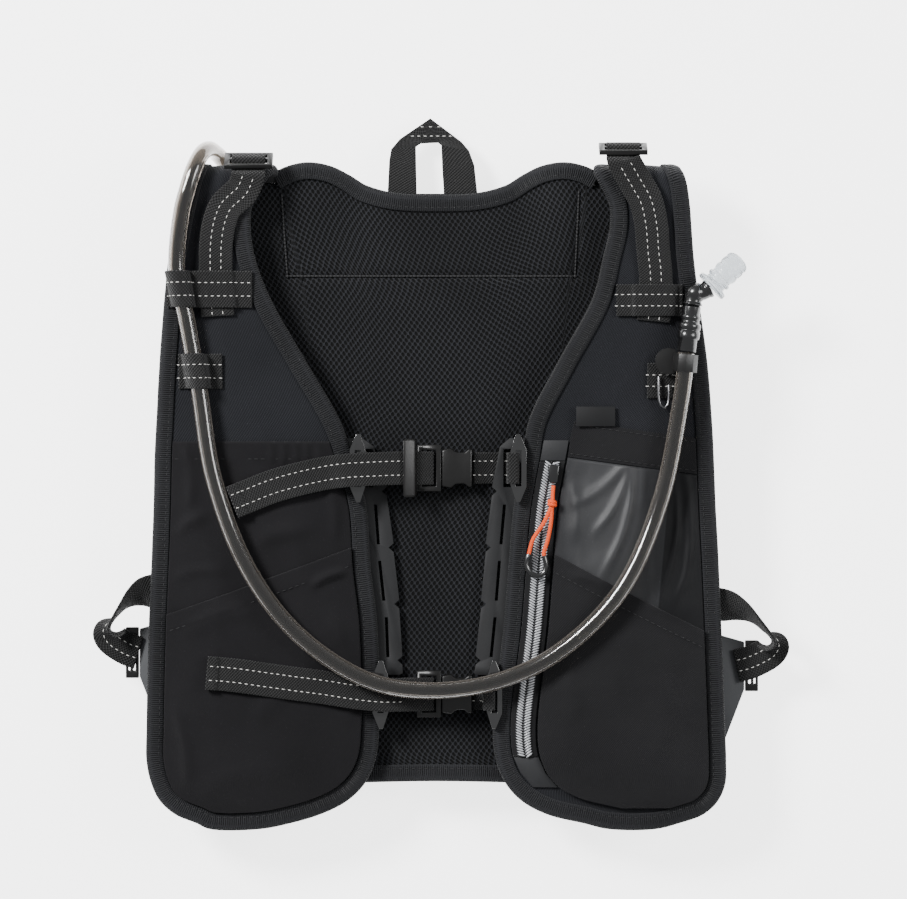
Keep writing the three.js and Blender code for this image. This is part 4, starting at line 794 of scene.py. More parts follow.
# Pockets of the front panels
# Thin walls sewn in under the tapes, slack over what lies below. Left, a tall pocket and a lower one cut on
# a slant. Right, a grey ripstop pocket with a banded mouth beside the zip, and a lower one cut on a slant.
FABRIC = 1.2
CLEARANCE = 0.4
LAYER = 2 * CLEARANCE + FABRIC
ZIP_TAPE = 15.0
MOUTH_HEM = 11.5
MOUTH_SEAM = 10.5
BAND_HEIGHT = 22


def puff(side, x, y):
    up = (y - HEM_Y) / PANEL_LENGTH
    return 2 * inward(side, x, y) * smooth(0, 0.3, up) * (1 - smooth(0.46, 0.56, up))


def pocket_under(side, x, y, layers):
    return front_top(side, x, y) + puff(side, x, y) + layers * LAYER + CLEARANCE


def over_pockets(side, x, y):
    return front_top(side, x, y) + puff(side, x, y) + 2 * LAYER


def inside_tape(side):
    """The two edges inside a panel's tape, as curves of distance over height, and the lowest height."""
    line, normal, outward = panel_frames[side]
    moved = line - TAPE_REACH * outward
    moved = moved[line[:, 1] <= FOLD_Y]
    x, y = np.abs(moved[:, 0]), moved[:, 1]
    lowest = int(np.argmin(y))
    outer = (y[:lowest + 1][::-1], x[:lowest + 1][::-1])
    inner = (y[lowest:], x[lowest:])
    return (lambda py: np.interp(py, *inner)), (lambda py: np.interp(py, *outer)), float(y[lowest])


def hose_clear(x, y):
    """1 away from the hose, 0 under it, so that folds stay clear of it."""
    flat = hose_line[::4, :2] * 1000 - MIDDLE[:2]
    flat = flat[hose_line[::4, 2] > 0.045]
    nearest = np.min([np.hypot(x - hx, y - hy) for hx, hy in flat], axis=0)
    return smooth(6, 20, nearest)


def creases(x, y, folds):
    """Sum of soft folds. Each has its two ends, its half width and its height."""
    total = np.zeros_like(x)
    for ax, ay, bx, by, width, height in folds:
        run = math.hypot(bx - ax, by - ay)
        t = ((x - ax) * (bx - ax) + (y - ay) * (by - ay)) / run ** 2
        bend = 0.08 * run * np.sin(math.pi * np.clip(t, 0, 1))
        off = ((x - ax) * (by - ay) - (y - ay) * (bx - ax)) / run + bend
        ends = smooth(-0.15, 0.2, t) * (1 - smooth(0.75, 1.15, t))
        total = total + height * np.exp(-(off / width) ** 2) * ends
    return total


def cut_size(face):
    """Width, length and area of the cloth that a wall was cut from, measured along its face."""
    across, up = np.diff(face, axis=1), np.diff(face, axis=0)
    width = np.linalg.norm(across, axis=2).sum(axis=1).max()
    length = np.linalg.norm(up, axis=2).sum(axis=0).max()
    area = np.linalg.norm(np.cross(across[:-1], up[:, :-1]), axis=2).sum()
    return (float(width), float(length)), float(area)


def pocket_wall(name, side, from_line, to_line, low, high, layers, folds, slack, seed, rows=90,
                columns=64, mouth=1.0):
    """A pocket's wall between two lines, with its folds; with mouth=1 also a thicker turned hem."""
    t = np.concatenate([[0, 0.004, 0.012], np.linspace(0.025, 0.985, rows), [0.992, 1]])[:, None]
    s = np.concatenate([[0, 0.008], np.linspace(0.02, 0.98, columns), [0.992, 1]])[None, :]
    y = (low[0] + (low[1] - low[0]) * s) * (1 - t) + (high[0] + (high[1] - high[0]) * s) * t
    x = from_line(y) + (to_line(y) - from_line(y)) * s
    under = pocket_under(side, x, y, layers)
    signed = SIGN[side] * x
    held = smooth(0, 0.1, s) * (1 - smooth(0.9, 1, s)) * smooth(0, 0.08, t)
    clear = hose_clear(signed, y)
    lift = (creases(signed, y, folds) + slack * ripples(signed, y, 38, seed)
            + 0.4 * slack * ripples(signed, y, 15, seed + 4)) * held
    lift = np.clip(lift, -0.15, 6) * (0.08 + 0.92 * clear)
    hem = mouth * 0.45 * smooth(0, 1, (y - (high[0] + (high[1] - high[0]) * s) + MOUTH_HEM) / 1.2)
    bottom = under + 0.75 * lift
    top = under + FABRIC - 0.35 + lift + hem
    face = np.stack(np.broadcast_arrays(signed, y, top), axis=2)
    back = np.stack(np.broadcast_arrays(signed, y, bottom), axis=2)
    wall = loft(name, placed(np.concatenate([face, back[:, ::-1]], axis=1)))
    return wall, cut_size(face / 1000)


def mouth_stitches(side, from_line, to_line, high, layers, down):
    """A line of stitching below a pocket's mouth."""
    s = np.linspace(0.03, 0.97, 60)
    y = high[0] + (high[1] - high[0]) * s - down
    x = from_line(y) + (to_line(y) - from_line(y)) * s
    return np.stack([SIGN[side] * x, y, pocket_under(side, x, y, layers) + FABRIC + 0.12], axis=1)


stretch_cloth, *_ = cloth("Matt stretch", (0.0028, 0.0026, 0.0032), (0.0078, 0.0073, 0.0085), 0.55, 0.0010,
                          0.0003, sheen=0.12)
left_in, left_out, left_hem = inside_tape("left")
right_tape, right_out, _ = inside_tape("right")

tall_folds = [(-100, 19, -99, 4, 1.5, 1.2), (-92, 19, -93, 2, 1.4, 1.4), (-85, 19, -84, 5, 1.4, 1.3),
              (-78, 19, -79, 3, 1.5, 1.4), (-71, 19, -71, 5, 1.4, 1.2), (-163, -40, -118, -22, 3.5, 2.1),
              (-140, 14, -96, -14, 4.9, 1.5), (-70, 10, -60, -40, 4.2, 2.4), (-165, -66, -120, -60, 2.8, 1.5),
              (-122, -52, -76, -34, 4.9, 2.2), (-150, 16, -148, -20, 4.2, 1.5)]
left_low = (left_hem, left_hem)
left_mouth = (up_panel(0.598), up_panel(0.598))
left_slant = (up_panel(0.434), up_panel(0.33))
tall, tall_cut = pocket_wall("pocket_tall_left", "left", left_in, left_out, left_low, left_mouth, 0,
                             tall_folds, 0.5, 2)
finish_piece(tall, stretch_cloth, "stretch", "stretch_pocket_left")
slant_folds = [(-74, -68, -50, -60, 2.4, 3), (-150, -95, -100, -84, 5.6, 1.5),
               (-140, -190, -80, -180, 6.3, 1.4), (-62, -90, -52, -150, 4.2, 2),
               (-160, -140, -150, -190, 4.2, 1.5), (-110, -150, -70, -120, 7, 1.4)]
slant, slant_cut = pocket_wall("pocket_slant_left", "left", left_in, left_out, left_low, left_slant, 1,
                               slant_folds, 0.45, 6)
finish_piece(slant, stretch_cloth, "stretch", "slant_pocket_left")
seams.append(mouth_stitches("left", left_in, left_out, left_mouth, 0, MOUTH_SEAM))
seams.append(mouth_stitches("left", left_in, left_out, left_slant, 1, MOUTH_SEAM))

beside_zip = lambda y: right_tape(y) + ZIP_TAPE + 3 * CLEARANCE
outer_right = lambda y: np.maximum(beside_zip(y) + 1, right_out(y))
right_low = (up_panel(0.03), up_panel(0.03))
right_mouth = (up_panel(0.63), up_panel(0.603))
ripstop_top = tuple(y - BAND_HEIGHT for y in right_mouth)
band_foot = tuple(y + CLEARANCE for y in ripstop_top)

ripstop_cloth, tree, shader, _, thread_shade_and_dust = cloth("Grey ripstop", (0.0085, 0.0087, 0.0098),
                                              (0.027, 0.0275, 0.0295), 0.35, 0.0008, 0.0002,
                                              rough=(0.4, 0.55))
# painted shade: the narrow side beyond the upright seam is coloured darker, as it lies turned away from the
# light; the seam runs from foot to top
SEAM_TOP = (0.1386, 0.0075)
SEAM_FOOT = (0.1306, -0.0797)
seam_lean = (SEAM_TOP[0] - SEAM_FOOT[0]) / (SEAM_TOP[1] - SEAM_FOOT[1])
seam_at = SEAM_FOOT[0] - seam_lean * SEAM_FOOT[1]
parts = tree.nodes.new("ShaderNodeSeparateXYZ")
tree.links.new(where(tree), parts.inputs[0])
seam_x = calc(tree, "MULTIPLY_ADD", parts.outputs["Y"], seam_lean, seam_at)
painted_shade_beyond_seam = calc(tree, "SUBTRACT", parts.outputs["X"], seam_x)
painted_shade_beyond_seam = calc(tree, "MULTIPLY_ADD", painted_shade_beyond_seam, 1500.0, 0.5, clamp=True)
tree.links.new(mixed(tree, painted_shade_beyond_seam, thread_shade_and_dust, (0.0060, 0.0061, 0.0068)), shader.inputs["Base Color"])
# the cloth shines along a band, and less towards the zip and the seam
from_band = calc(tree, "ABSOLUTE", calc(tree, "ADD", parts.outputs["X"], -0.101))
dull = calc(tree, "MULTIPLY_ADD", from_band, 55.0, -0.55, clamp=True)
tree.links.new(calc(tree, "MULTIPLY_ADD", dull, -0.3, 0.4), shader.inputs["Specular IOR Level"])
ripstop_folds = [(116, 8, 82, -20, 3, 1.9), (116, 6, 96, -36, 2.6, 2.1), (118, 6, 99, -64, 2.4, 2.3),
                 (124, 2, 112, -60, 3, 1.6), (80, -6, 83, -42, 4, 1.6), (152, -18, 144, -80, 2.6, 1.5),
                 (147, 6, 151, -60, 3, 1.2), (141.4, 7, 133.4, -80, 1.3, 1.6)]
ripstop, ripstop_cut = pocket_wall("pocket_ripstop_right", "right", beside_zip, outer_right, right_low,
                                   ripstop_top, 0, ripstop_folds, 0.55, 9, mouth=0)
finish_piece(ripstop, ripstop_cloth, "ripstop", "ripstop_pocket_right")
band, band_cut = pocket_wall("pocket_band_right", "right", beside_zip, outer_right, band_foot, right_mouth, 0,
                             [], 0.25, 11, rows=16, mouth=0)

charcoal_cloth, *_ = cloth("Charcoal stretch", (0.0038, 0.0037, 0.0042), (0.0128, 0.0126, 0.0138), 0.6,
                           0.0012, 0.0004, long=1.3)
right_slant = (up_panel(0.424), up_panel(0.305))
lower_folds = [(82, -62, 104, -72, 2.8, 1.7), (128, -80, 160, -98, 3.2, 1.4),
               (90, -180, 140, -188, 7.2, 1.1), (70, -110, 84, -150, 5.6, 1.3),
               (138, -120, 132, -170, 5.6, 1.1)]
lower, lower_cut = pocket_wall("pocket_slant_right", "right", beside_zip, outer_right, right_low, right_slant,
                               1, lower_folds, 0.4, 14)
finish_piece(band, charcoal_cloth, "stretch", "mouth_band_right")
finish_piece(lower, charcoal_cloth, "stretch", "slant_pocket_right")
seams.append(mouth_stitches("right", beside_zip, outer_right, right_slant, 1, MOUTH_SEAM))
for down in (2.2, 19.6):
    seams.append(mouth_stitches("right", beside_zip, outer_right, right_mouth, 0, down))


# Straps of webbing
# Flat 20 mm webbing with a close weave, firm edges and two lines of white stitching. Each strap is swept
# along its path with its width laid across it.
web_cloth, *_ = cloth("Webbing", (0.0022, 0.0022, 0.0023), (0.0290, 0.0288, 0.0290), 1.0, 0.0022, 0.0011,
                      long=0.8, specks=0.5)
white_lines = []
WEB_THICK = 1.6
WEB_WIDTH = 20.0
WEB_LIFT = CLEARANCE + WEB_THICK / 2


def strap_frames(places, across):
    """A smooth line through the places with the direction across the strap and out of its face."""
    both = smooth_line([(*p, *(25 * unit(a))) for p, a in zip(places, across)], 1.0)
    line, wide = both[:, :3], unit(both[:, 3:])
    tangents = unit(np.gradient(line, axis=0))
    wide = unit(wide - np.einsum("ij,ij->i", wide, tangents)[:, None] * tangents)
    return line, wide, np.cross(tangents, wide)


def square_to(path):
    """Directions across a flat path, one for each of its places."""
    ends = [path[0], *path, path[-1]]
    return [(a[1] - b[1], b[0] - a[0], 0) for a, b in zip(ends, ends[2:])]


def strap(name, node, places, across, dash, dash_range, face=1, width=WEB_WIDTH, thick=WEB_THICK, hem=0):
    """A strap through the places, with white dashes on one face at dash to both sides of its middle.

    hem is the length of the end that is folded back on itself and sewn.
    """
    line, wide, out = strap_frames(places, across)
    w, t = width / 2, thick / 2
    section = [(-w, -0.45 * t), (-w + 0.3, -t), (-w + 1.4, -0.82 * t), (-w / 3, -0.9 * t), (w / 3, -0.9 * t),
               (w - 1.4, -0.82 * t), (w - 0.3, -t), (w, -0.45 * t), (w, 0.45 * t), (w - 0.3, t),
               (w - 1.4, 0.82 * t), (w / 3, 0.9 * t), (-w / 3, 0.9 * t), (-w + 1.4, 0.82 * t), (-w + 0.3, t),
               (-w, 0.45 * t)]
    to_end = np.linalg.norm(line - line[-1], axis=1)
    folded = (1.3 * thick * smooth(hem, hem - 1.2, to_end) if hem else 0 * to_end)[:, None]
    rings = np.stack([line + u * wide + (v + (v > 0) * folded) * out for u, v in section], axis=1)
    finish_piece(loft(name, placed(rings)), web_cloth, "webbing", node)
    first, last = (int(share * (len(line) - 1)) for share in dash_range)
    for offset in (-dash, dash):
        white_lines.append((line + offset * wide + face * (t + 0.05 + folded) * out)[first:last + 1])


# Side wings, ladder locks and side straps
# Wings of rubbered cloth reach out from the rear pouch on both sides. Each carries a plastic ladder lock,
# and a strap loops through it from below the front panel. The rubber strips with slots for the toggles of
# the chest straps are made here too.
def moulded(name, node, radius, material, slot, angle=35, segments=2, sharp=50):
    """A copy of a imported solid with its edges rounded, in a material of its own."""
    shape = bmesh.new()
    shape.from_mesh(frame["nodes"][node].data)
    bmesh.ops.remove_doubles(shape, verts=shape.verts, dist=2e-6)
    bmesh.ops.dissolve_limit(shape, angle_limit=math.radians(1.5), verts=shape.verts, edges=shape.edges)
    mesh = bpy.data.meshes.new(name)
    shape.to_mesh(mesh)
    shape.free()
    mesh.materials.clear()
    piece = bpy.data.objects.new(name, mesh)
    scene.collection.objects.link(piece)
    bevel = piece.modifiers.new("Rounded edges", "BEVEL")
    bevel.width = radius / 1000
    bevel.segments = segments
    bevel.limit_method = "ANGLE"
    bevel.angle_limit = math.radians(angle)
    bevel.use_clamp_overlap = True
    rounded = bpy.data.meshes.new_from_object(piece.evaluated_get(bpy.context.evaluated_depsgraph_get()))
    piece.modifiers.clear()
    piece.data = rounded
    rounded.name = name
    rounded.shade_smooth()
    rounded.set_sharp_from_angle(angle=math.radians(sharp))
    return finish_piece(piece, material, slot, node)


wing_rubber = plastic("Rubbered cloth", (0.040, 0.042, 0.045), (0.062, 0.064, 0.068), 0.5, 0.7, grain=2200.0,
                      bump=0.45, shine=0.35)
patch_rubber = plastic("Rubbered patch", (0.0085, 0.0088, 0.0098), (0.016, 0.0165, 0.018), 0.52, 0.74,
                       grain=2200.0, bump=0.45, shine=0.3)
strip_rubber = plastic("Cut rubber strip", (0.0075, 0.0077, 0.0084), (0.0135, 0.0138, 0.0148), 0.5, 0.7,
                       grain=1500.0, bump=0.3, shine=0.28)
buckle_plastic = plastic("Buckle plastic", (0.0032, 0.0031, 0.0031), (0.0075, 0.0073, 0.0072), 0.24, 0.42,
                         grain=1100.0, bump=0.25, shine=0.32)
hook_plastic = plastic("Glossy hook", (0.0042, 0.0042, 0.0045), (0.0095, 0.0094, 0.0096), 0.1, 0.2,
                       grain=1100.0, bump=0.12, coat=1.0)
label_rubber = plastic("Label rubber", (0.0048, 0.0049, 0.0054), (0.0085, 0.0086, 0.0092), 0.5, 0.7,
                       grain=1900.0, bump=0.3, shine=0.2)
WING_UNDER = 17.0
LOCK_THICK = 3.0
SIDE_STRAP_RISE = 39.0
SIDES = {"left": (-110.0, 198.0), "right": (-118.0, 204.0)}  # height of the lock, farthest reach of the loop
# shares of the way out to the reach, down to the lock, and from below the panel to above the lock, then the
# slant of the width in the plane, and 0 where the strap lies flat or 1 where it stands on its edge
SIDE_STRAP = np.array([(-0.6, 0, 0, 0.03, 0), (0.02, 0.03, 0, 0.1, 0.1), (0.42, 0.14, 0.02, 0.33, 0.5),
                       (0.72, 0.32, 0.13, 0.55, 0.72), (0.93, 0.52, 0.34, 0.65, 0.68),
                       (1, 0.66, 0.58, 0.6, 0.45), (0.93, 0.79, 0.85, 0.5, 0.15), (0.72, 0.9, 1, 0.36, 0),
                       (0.55, 0.96, 1, 0.27, 0), (0.36, 1.0, 1, 0.2, 0)])
for side in ("left", "right"):
    moulded(f"side_wing_{side}", f"wing_{side}", 0.5, wing_rubber, "coated_cloth")
    moulded(f"side_lock_{side}", f"wing_lock_{side}", 0.7, buckle_plastic, "buckle_plastic")
    y, reach = SIDES[side]
    start_x = plain_edge(side, "out", y + SIDE_STRAP_RISE)
    high = PANEL_UNDER - 1.8 - WEB_THICK / 2
    low = WING_UNDER - 0.6 + LOCK_THICK + WEB_LIFT
    places = [(SIGN[side] * (start_x + (reach - start_x) * out), y + SIDE_STRAP_RISE * (1 - down),
               high + (low - high) * drop) for out, down, drop, lean, edge in SIDE_STRAP]
    across = [(-SIGN[side] * lean * (1 - edge), 1 - edge, edge) for lean, edge in SIDE_STRAP[:, 3:]]
    strap(f"side_strap_loop_{side}", f"side_strap_{side}", places, across, 3.4, (0.48, 0.985),
          face=-SIGN[side])
    moulded(f"daisy_strip_{side}", f"ladder_strip_{side}", 0.35, strip_rubber, "coated_cloth")


# Rear pouch
# A flat pouch of knit below the back panel, for a water reservoir, with rounded corners and a soft lower
# edge. It is open along its top edge.
POUCH_HALF = 102.0
POUCH_HEM = BACK_HEM_Y + 16
POUCH_TOP = FOLD_Y - 24
POUCH_CORNER = 34.0
POUCH_DEPTH = 20.0
POUCH_WALL = 2.0
POUCH_TUCK = 12.0
POUCH_EDGE = np.array([(0, 1), (0.1, 0.62), (0.35, 0.22), (0.65, 0.05), (1, 0)])
MOUTH_HALF = 92.0
MOUTH_HEIGHT = 8.0


def pouch_ring(inset, count=40):
    """The pouch's outline, moved inwards."""
    w, low, high = POUCH_HALF - inset, POUCH_HEM + inset, POUCH_TOP - inset
    r = max(2.0, POUCH_CORNER - 0.4 * inset)
    ring = []
    for cx, cy, start in ((w - r, high - r, 0), (-(w - r), high - r, 90), (-(w - r), low + r, 180),
                          (w - r, low + r, 270)):
        ring += [(cx + r * math.cos(math.radians(start + a)), cy + r * math.sin(math.radians(start + a)))
                 for a in np.linspace(0, 90, 14)]
    ring = np.array(ring + ring[:1])
    run = run_along(ring)
    even = np.linspace(0, run[-1], 8 * count + 1)[:-1]
    return np.stack([np.interp(even, run, ring[:, k]) for k in (0, 1)], axis=1)


def pouch_rim(ring):
    """The height of the pouch's rim: lower along the mouth."""
    at_mouth = smooth(POUCH_TOP - 30, POUCH_TOP - 20, ring[:, 1])
    at_mouth = at_mouth * (1 - smooth(MOUTH_HALF - 4, MOUTH_HALF, np.abs(ring[:, 0])))
    return POUCH_DEPTH - (POUCH_DEPTH - MOUTH_HEIGHT) * at_mouth


def pouch_shell(wall, levels):
    """The pouch's side from level to level, a wall's thickness inside its outer face."""
    shell = []
    for level in levels:
        ring = pouch_ring(POUCH_TUCK * float(eased(POUCH_EDGE, level)) + wall)
        shell.append(np.column_stack([ring, wall + (pouch_rim(ring) - wall) * level]))
    return shell


def pouch_floor(wall):
    """The pouch's flat face, ring by ring towards its middle: uneven outside, plain inside."""
    floor = []
    for share in np.linspace(0.03, 0.97, 14):
        ring = pouch_ring(POUCH_TUCK + wall)
        centre = np.array([0, (POUCH_HEM + POUCH_TOP) / 2])
        x, y = (centre + (ring - centre) * (1 - share)).T
        uneven = 0.5 * (1 + ripples(x, y, 60, 8)) * smooth(0, 0.3, share)
        floor.append(np.column_stack([x, y, 0 * x + (wall or uneven)]))
    return floor


levels = np.linspace(0, 1, 16)
outside = pouch_shell(0, levels[::-1]) + pouch_floor(0)
inside = pouch_floor(POUCH_WALL)[::-1] + pouch_shell(POUCH_WALL, levels)
rear_pouch = loft("reservoir_pouch", placed(outside + inside), caps=False, closed=True)
finish_piece(rear_pouch, knit_cloth, "knit", "rear_pouch")


# Carry handle
# One length of webbing folded to a peak and sewn in below the collar tape. It leans towards the table.
HANDLE_FOOT = COLLAR_Y - 7
HANDLE_TOP = COLLAR_Y + 48.9
HANDLE_UNDER = 16.8
HANDLE_LEAN = 0.13
inner_edge = [(-11.6, HANDLE_FOOT), (-12.2, HANDLE_TOP - 30), (-12.4, HANDLE_TOP - 17.5),
              (-9.5, HANDLE_TOP - 15.6), (-3.9, HANDLE_TOP - 15.2), (1.2, HANDLE_TOP - 15),
              (3.1, HANDLE_TOP - 16.6), (3.6, HANDLE_TOP - 30), (5.2, HANDLE_FOOT)]
outer_edge = [(-30, HANDLE_FOOT), (-28.6, HANDLE_TOP - 26), (-27.4, HANDLE_TOP - 19),
              (-22, HANDLE_TOP - 12.6), (-3.6, HANDLE_TOP), (15.5, HANDLE_TOP - 14.6), (20, HANDLE_TOP - 20),
              (23.2, HANDLE_TOP - 29), (26, HANDLE_FOOT)]
inner_line, outer_line = (
    np.concatenate([np.linspace(a, b, 12, endpoint=False) for a, b in zip(edge, edge[1:])] + [[edge[-1]]])
    for edge in (inner_edge, outer_edge))


def on_handle(share, lift):
    flat = inner_line + (outer_line - inner_line) * share
    lean = HANDLE_UNDER - HANDLE_LEAN * np.maximum(0, flat[:, 1] - HANDLE_FOOT)
    return np.column_stack([flat, lean + lift])


handle_section = [(0, 0.3), (0.02, 0), (0.1, 0.12), (0.9, 0.12), (0.98, 0), (1, 0.3), (1, 1.5), (0.98, 1.8),
                  (0.9, 1.66), (0.5, 1.72), (0.1, 1.66), (0.02, 1.8), (0, 1.5)]
handle = loft("carry_loop",
              placed(np.stack([on_handle(share, lift) for share, lift in handle_section], axis=1)))
finish_piece(handle, web_cloth, "webbing", "carry_handle")
for y, low_x, high_x in ((209.6, -8.6, 1.6), (203.9, -14.4, 8.6)):
    height = HANDLE_UNDER - HANDLE_LEAN * (y - HANDLE_FOOT) + 1.85
    white_lines.append(np.linspace((low_x, y, height), (high_x, y, height), 20))


# Shoulder webbing and its ladder locks
# Webbing threaded through a ladder lock that stands on each shoulder fold, and then laid down the front
# panel with its free end below the upper keeper.
LOCK_BAR = 2.0
LOCK_WINDOW = 3.4
LOCK_HALF = 1.5 * LOCK_BAR + LOCK_WINDOW
# how far the lock stands off the fold, its lean, and the places of the webbing down the panel
SHOULDER = {"left": (14.4, 0.85, [(116.5, 167), (121, 163), (125.8, 158), (129.4, 149), (131.4, 137),
                                  (131.8, 122), (131.4, 107), (130.6, 93)]),
            "right": (20.0, 1.1, [(121.0, 170), (125.3, 162), (128.6, 148), (130, 132), (131.5, 118),
                                  (131.4, 104), (130.2, 90)])}
for side in ("left", "right"):
    moulded(f"shoulder_ladder_{side}", f"shoulder_lock_{side}", 0.55, buckle_plastic, "buckle_plastic")
    reach, lean, rows = SHOULDER[side]
    along = np.array([0, math.cos(lean), -math.sin(lean)])
    out = np.array([0, math.sin(lean), math.cos(lean)])
    middle = np.array([SIGN[side] * 112, FOLD_Y, FOLD_Z]) + reach * out
    slot = (LOCK_BAR + LOCK_WINDOW) / 2
    over = LOCK_THICK + WEB_LIFT
    threaded = [(slot, 1), (slot, LOCK_THICK), (slot - 1, over), (0, over + 0.3), (1 - slot, over),
                (-slot, LOCK_THICK), (-slot, 1), (-slot - 0.9, -WEB_LIFT - 0.6),
                (-LOCK_HALF - 2, -WEB_LIFT - 1.1)]
    places = [middle + t * along + h * out for t, h in threaded]
    x, y = np.array(rows, float).T
    laid = list(on_panel(side, x, y, foam_at(side, x, y) + WEB_LIFT + 0.3 + 1.7 * smooth(125, 150, y)))
    across = [(1, 0, 0)] * len(places) + square_to(laid)
    strap(f"shoulder_strap_{side}", f"shoulder_web_{side}", places + laid, across, 3.2, (0.22, 0.99))


# Keepers and the clip's tab
# Bands of webbing sewn across the panels, thinner than the straps. They hold down the shoulder webbing and
# the hose, and the short one on the right carries the hose clip.
LAID = CLEARANCE + FABRIC / 2
OVER_TAPE = LAID + 1.4
OVER_WEB = LAID + WEB_THICK + 0.8
HOSE_RADIUS = 5.0
OVER_HOSE = HOSE_RADIUS + LAID + 0.8
HOSE_LIFT = HOSE_RADIUS + CLEARANCE + 0.6


def over_the_hose(x, lift):
    return [(x + OVER_HOSE * math.cos(a), lift + OVER_HOSE * math.sin(a)) for a in np.linspace(0, math.pi, 7)]


# names of the piece and its node, side, height up the panel, width, slant, dashes, and the route across
KEEPERS = [
    ("band_upper_left", "keeper_upper_left", "left", 109, 22, -0.19, 4,
     [(161, OVER_TAPE + 0.5), (160, OVER_TAPE + 0.8), *over_the_hose(152.6, HOSE_LIFT + 1.2),
      (145.6, OVER_WEB + 1.6), (143, OVER_WEB + 1.4), (133, OVER_WEB + 0.5), (122, OVER_WEB + 0.8),
      (119.5, OVER_TAPE), (110, OVER_TAPE)]),
    ("band_lower_left", "keeper_lower_left", "left", 60, 21, -0.17, 4,
     [(154.4, LAID + 0.2), (151.2, LAID + 0.4), *over_the_hose(143.6, HOSE_LIFT), (135.8, LAID + 0.4),
      (128, LAID + 0.2)]),
    ("band_right", "keeper_right", "right", 102.5, 19, 0, 3.4,
     [(108, OVER_TAPE), (117, OVER_TAPE), (119, OVER_WEB + 0.6), (131, OVER_WEB + 0.3), (142, OVER_WEB + 1.4),
      (144.6, OVER_TAPE), (147.6, OVER_TAPE)]),
    ("clip_tab", "clip_tab_right", "right", 54.5, 21, 0, 3.4,
     [(126.6, LAID + 0.2), (137, LAID + 0.2), (147, LAID + 0.2)])]
for name, node, side, y, width, lean, dash, places in KEEPERS:
    path = [(SIGN[side] * x, y, float(front_top(side, np.array(x, float), np.array(y, float))) + lift)
            for x, lift in places]
    strap(name, node, path, [(lean, 1, 0.08)] * len(path), dash, (0.02, 0.98), width=width, thick=FABRIC)


# Chest straps
# Toggle hooks sit in the daisy strips and hold short webs that meet in a side-release buckle. The free tail
# of each strap lies across the left panel.
STRIP_SLOT = 7.6
BAR_WIDTH = 3.2
BACK_TOP = BACK_UNDER + BACK_FOAM
# height up the vest, and the undersides of the two toggles, just over the binding tape below them
CHEST = {"upper": (2.0, {"left": 42.2, "right": 42.38}), "lower": (-134.0, {"left": 39.61, "right": 39.77})}
WEB_LOW = BACK_TOP + WEB_LIFT
BUCKLE_MID = 34.5
# each tail's distance to the left, rise above its strap, and least height
TAILS = {"upper": [(1.6, 0, 36), (9, 0, 39.6), (22, 0, 45), (40, -0.6, 49.2), (54, -1.4, 49.4), (66, -3, 0),
                   (82, -6.5, 0), (98, -11, 0), (112, -16.5, 0), (122, -20.5, 0)],
         "lower": [(1.6, 0, 36), (9, 0, 39.6), (20, 0, 44), (34, 0.2, 47), (50, 2, 47.6), (66, 4.5, 0),
                   (84, 7, 0), (102, 9.5, 0), (120, 12, 0), (137, 13.5, 0)]}


def chest_web(name, node, side, y, under, start, start_z):
    """From a buckle, below the strip, up through its slot and round the toggle's first bar."""
    x = plain_edge(side, "in", y) - STRIP_SLOT
    low = start_z if x - start < 12 else WEB_LOW
    over = under + 3.5 + WEB_LIFT
    near = x - WEB_LIFT
    back = x + BAR_WIDTH + WEB_LIFT + 0.3
    path = [(start, start_z), (start + 0.3 * (near - start), start_z + 0.7 * (low - start_z)),
            (start + 0.62 * (near - start), low), (near - 0.6, low + 0.5), (near, low + 4.5),
            (near, under + 1), (near + 0.3, over - 0.5), (near + 2.6, over),
            (x + BAR_WIDTH + 0.7, over - 0.2), (back, over - 2.4), (back, under + 1)]
    strap(name, node, [(SIGN[side] * px, y, pz) for px, pz in path], [(0, 1, 0)] * len(path), 4.2,
          (0.0, 0.62), face=SIGN[side], width=WEB_WIDTH - 1)


for level, (y, under) in CHEST.items():
    for side in ("left", "right"):
        moulded(f"hook_{level}_{side}", f"toggle_{level}_{side}", 1.5, hook_plastic, "buckle_plastic",
                segments=4, sharp=60)
    for side, start, start_z in (("right", 22.6, BUCKLE_MID), ("left", 12, BUCKLE_MID - 3.4)):
        chest_web(f"sternum_web_{level}_{side}", f"chest_web_{level}_{side}", side, y, under[side], start,
                  start_z)
    for half, radius in (("frame", 0.8), ("socket", 1.5)):
        moulded(f"clasp_{half}_{level}", f"buckle_{half}_{level}", radius, buckle_plastic, "buckle_plastic",
                segments=3)
    places = []
    for x, rise, z in TAILS[level]:
        over = over_pockets("left", np.array(float(x)), np.array(y + rise)) + WEB_LIFT + 0.3 if x > 60 else 0
        places.append(np.array([-x, y + rise, max(float(over), z)]))
    strap(f"sternum_tail_{level}", f"chest_tail_{level}", places, square_to(places), 4.2, (0.16, 0.985),
          hem=7)

